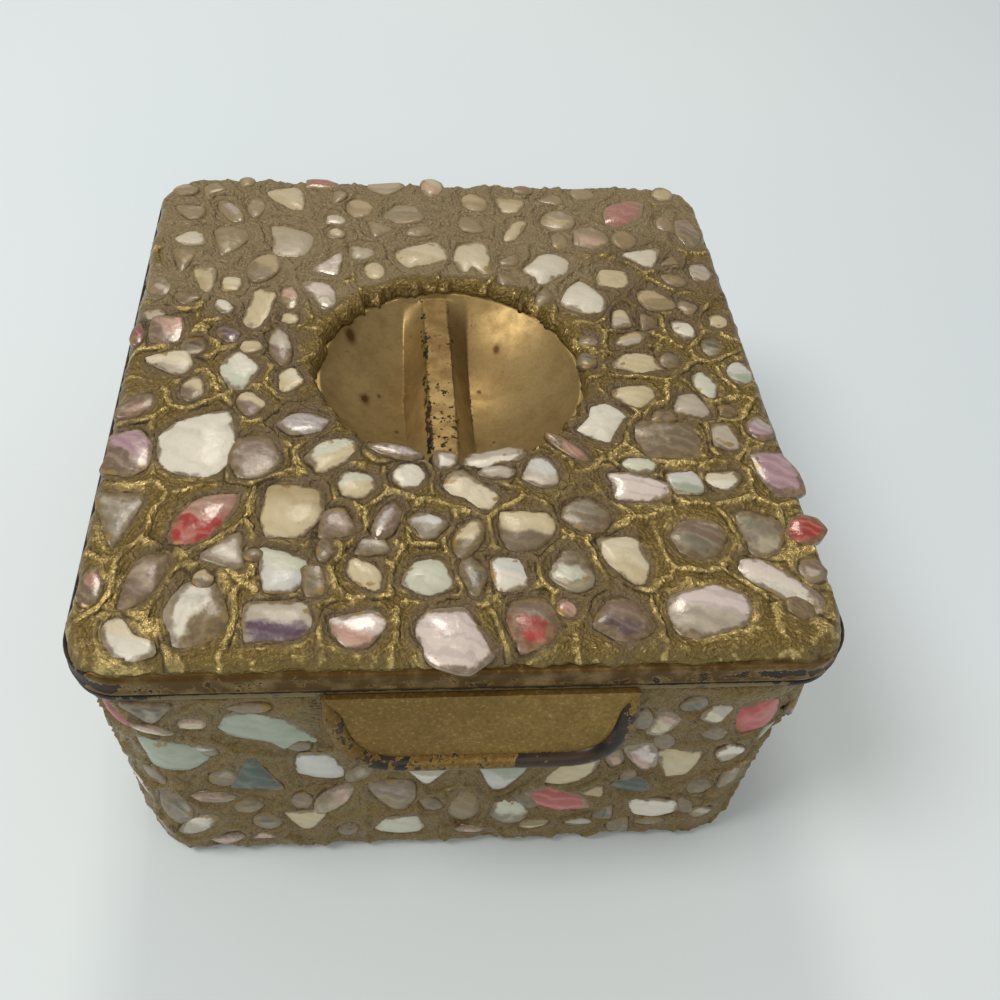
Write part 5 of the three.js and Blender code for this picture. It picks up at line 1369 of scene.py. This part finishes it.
def setChips(name, chips, surface, normal, material, tree, identifiers):
    # points with each chip's place, facing and size, and the modifier that sets the chips
    places, facings, sizes, kinds, radii, backTones, frontTones = [], [], [], [], [], [], []
    for chip in chips:
        place = surface(np.array([chip.u]), np.array([chip.v]), np.array([0.0]))[0]
        turn = Matrix.Rotation(math.radians(chip.turn), 3, "Z")
        facings.append(list((normal(chip.u, chip.v) @ turn).to_euler()))
        places.append(place)
        sizes.append([chip.sizes[0] / 2 + chipBody["grown"], chip.sizes[1] / 2 + chipBody["grown"], 1.0])
        radii.append(min(chip.sizes) / 2 + chipBody["grown"])
        kinds.append(blankNames.index(chip.form))
        backTones.append(linear(chipTones[chip.tones[0]][0]))
        frontTones.append(linear(chipTones[chip.tones[1]][0]))
    carrier = meshPiece(name + "_points", np.array(places), [], {
        "facing": facings, "chipSize": sizes, "chipRadius": radii, "toneBack": backTones, "toneFront": frontTones})
    kindField = carrier.data.attributes.new("form", "INT", "POINT")
    kindField.data.foreach_set("value", kinds)
    modifier = carrier.modifiers.new("set_chips", "NODES")
    modifier.node_group = tree
    modifier[identifiers["Forms"]] = blankForms
    modifier[identifiers["Lean"]] = math.radians(5)
    modifier[identifiers["Thickness"]] = 1.0
    modifier[identifiers["Seed"]] = 11
    modifier[identifiers["Material"]] = material
    depsgraph = bpy.context.evaluated_depsgraph_get()
    mesh = bpy.data.meshes.new_from_object(carrier.evaluated_get(depsgraph))
    mesh.name = name
    piece = bpy.data.objects.new(name, mesh)
    bpy.context.scene.collection.objects.link(piece)
    bpy.data.objects.remove(carrier)
    return piece


def lidFacing(x, y):
    return Matrix.Identity(3)


def wallFacing(run, z):
    here = wallPoint(np.array([run - 0.05, run + 0.05, run, run]), np.array([z, z, z - 0.05, z + 0.05]), np.zeros(4))
    along = Vector(here[1] - here[0]).normalized()
    up = Vector(here[3] - here[2]).normalized()
    out = along.cross(up).normalized()
    return Matrix((along, out.cross(along), out)).transposed()


namedShares = (0.3, 0.55, 0.75, 0.88, 0.96, 1.0)


def placeChips(prefix, chips, surface, facing, tree, identifiers):
    groups = {}
    for chip in chips:
        slot, finish = chipTones[chip.tones[0]][1:]
        if chip.name:
            points, faces, fields = chipMesh(chip, surface, namedShares)
            piece = meshPiece(chip.name + "_shell", points, faces, fields, 55)
            dress(piece, shellMaterials[finish], slot, chip.name)
        else:
            groups.setdefault((slot, finish), []).append(chip)
    for (slot, finish), members in sorted(groups.items()):
        name = f"{prefix}_{slot}_{finish}"
        dress(setChips(name, members, surface, facing, shellMaterials[finish], tree, identifiers), shellMaterials[finish], slot)


print("building the putty")
dress(buildLidPutty(), lidPuttyMaterial, "gold_putty", "lid_putty")
dress(buildWallPutty(), wallPuttyMaterial, "gold_putty", "body_putty")
print("building the tin")
dress(buildTinLid(), lidMaterial, "gold_painted_tin", "tin_lid")
dress(buildTinBody(), japanMaterial, "japanned_tin", "tin_body")
dress(buildTab(), tabMaterial, "gold_painted_tin", "front_tab")
print("setting the shell")
buildBlanks()
chipTree, chipInputs = settingTree()
placeChips("lid", lidChips, lidPoint, lidFacing, chipTree, chipInputs)
placeChips("wall", wallChips, wallPoint, wallFacing, chipTree, chipInputs)
for blank in list(blankForms.objects):
    bpy.data.objects.remove(blank)
bpy.data.collections.remove(blankForms)


# ---- floor, light and camera ----
print("setting the light and the camera")
stageLook = {"floor": "#eefaff", "shade": "#e8f5ff", "floorSize": 6.0, "worldStrength": 0.42, "world": "#f0ece6"}


def buildStage():
    size = stageLook["floorSize"] / 2
    mesh = bpy.data.meshes.new("floor")
    mesh.from_pydata([(-size, -size, 0), (size, -size, 0), (size, size, 0), (-size, size, 0)], [], [(0, 1, 2, 3)])
    floor = bpy.data.objects.new("floor", mesh)
    bpy.context.scene.collection.objects.link(floor)
    material, tree, shader = newMaterial("pale_paper")
    soft = grain(tree, 200.0, 2.0)
    tone = mixColours(tree, spread(tree, soft, 0.3, 0.7), linear(stageLook["shade"]), linear(stageLook["floor"]))
    tree.links.new(tone, shader.inputs["Base Color"])
    shader.inputs["Roughness"].default_value = 0.9
    shader.inputs["Specular IOR Level"].default_value = 0.1
    mesh.materials.append(material)


def addLamp(name, place, aim, size, power, colour):
    data = bpy.data.lights.new(name, "AREA")
    data.shape, data.size, data.energy = "DISK", size, power
    data.color = linear(colour)[:3]
    lamp = bpy.data.objects.new(name, data)
    lamp.location = place
    lamp.rotation_euler = (Vector(aim) - Vector(place)).to_track_quat("-Z", "Y").to_euler()
    bpy.context.scene.collection.objects.link(lamp)


def buildLight():
    world = bpy.data.worlds.new("soft_room")
    world.use_nodes = True
    background = world.node_tree.nodes["Background"]
    background.inputs["Color"].default_value = linear(stageLook["world"])
    background.inputs["Strength"].default_value = stageLook["worldStrength"]
    bpy.context.scene.world = world
    addLamp("window", (-0.04, 0.44, 0.66), (0, 0, 0.03), 0.18, 1.25, "#fff5e6")
    addLamp("overhead", (-0.42, -0.12, 0.72), (-0.03, 0, 0.03), 0.34, 2.6, "#fff9f2")
    addLamp("frontFill", (0.1, -0.8, 0.45), (0, 0, 0.03), 0.5, 0.9, "#fffaf2")


camera = {"place": (-12.27, -129.45, 170.0), "down": 48.26, "yaw": 7.9, "roll": 5.54, "lens": 37.8, "shiftX": 0.030, "shiftY": 0.003}


def buildCamera():
    down, yaw, roll = (math.radians(camera[key]) for key in ("down", "yaw", "roll"))
    ahead = Vector((math.sin(yaw) * math.cos(down), math.cos(yaw) * math.cos(down), -math.sin(down)))
    right = Vector((math.cos(yaw), -math.sin(yaw), 0))
    up = right.cross(ahead)
    tiltedRight = math.cos(roll) * right + math.sin(roll) * up
    tiltedUp = -math.sin(roll) * right + math.cos(roll) * up
    data = bpy.data.cameras.new("camera")
    data.sensor_width, data.lens = 36.0, camera["lens"]
    data.shift_x, data.shift_y = camera["shiftX"], camera["shiftY"]
    data.clip_start, data.clip_end = 0.005, 20
    eye = bpy.data.objects.new("camera", data)
    turn = Matrix((tiltedRight, tiltedUp, -ahead)).transposed().to_4x4()
    eye.matrix_world = Matrix.Translation(Vector(camera["place"]) * mm) @ turn
    bpy.context.scene.collection.objects.link(eye)
    bpy.context.scene.camera = eye


buildStage()
buildLight()
buildCamera()
bpy.context.scene.view_settings.view_transform = "Standard"
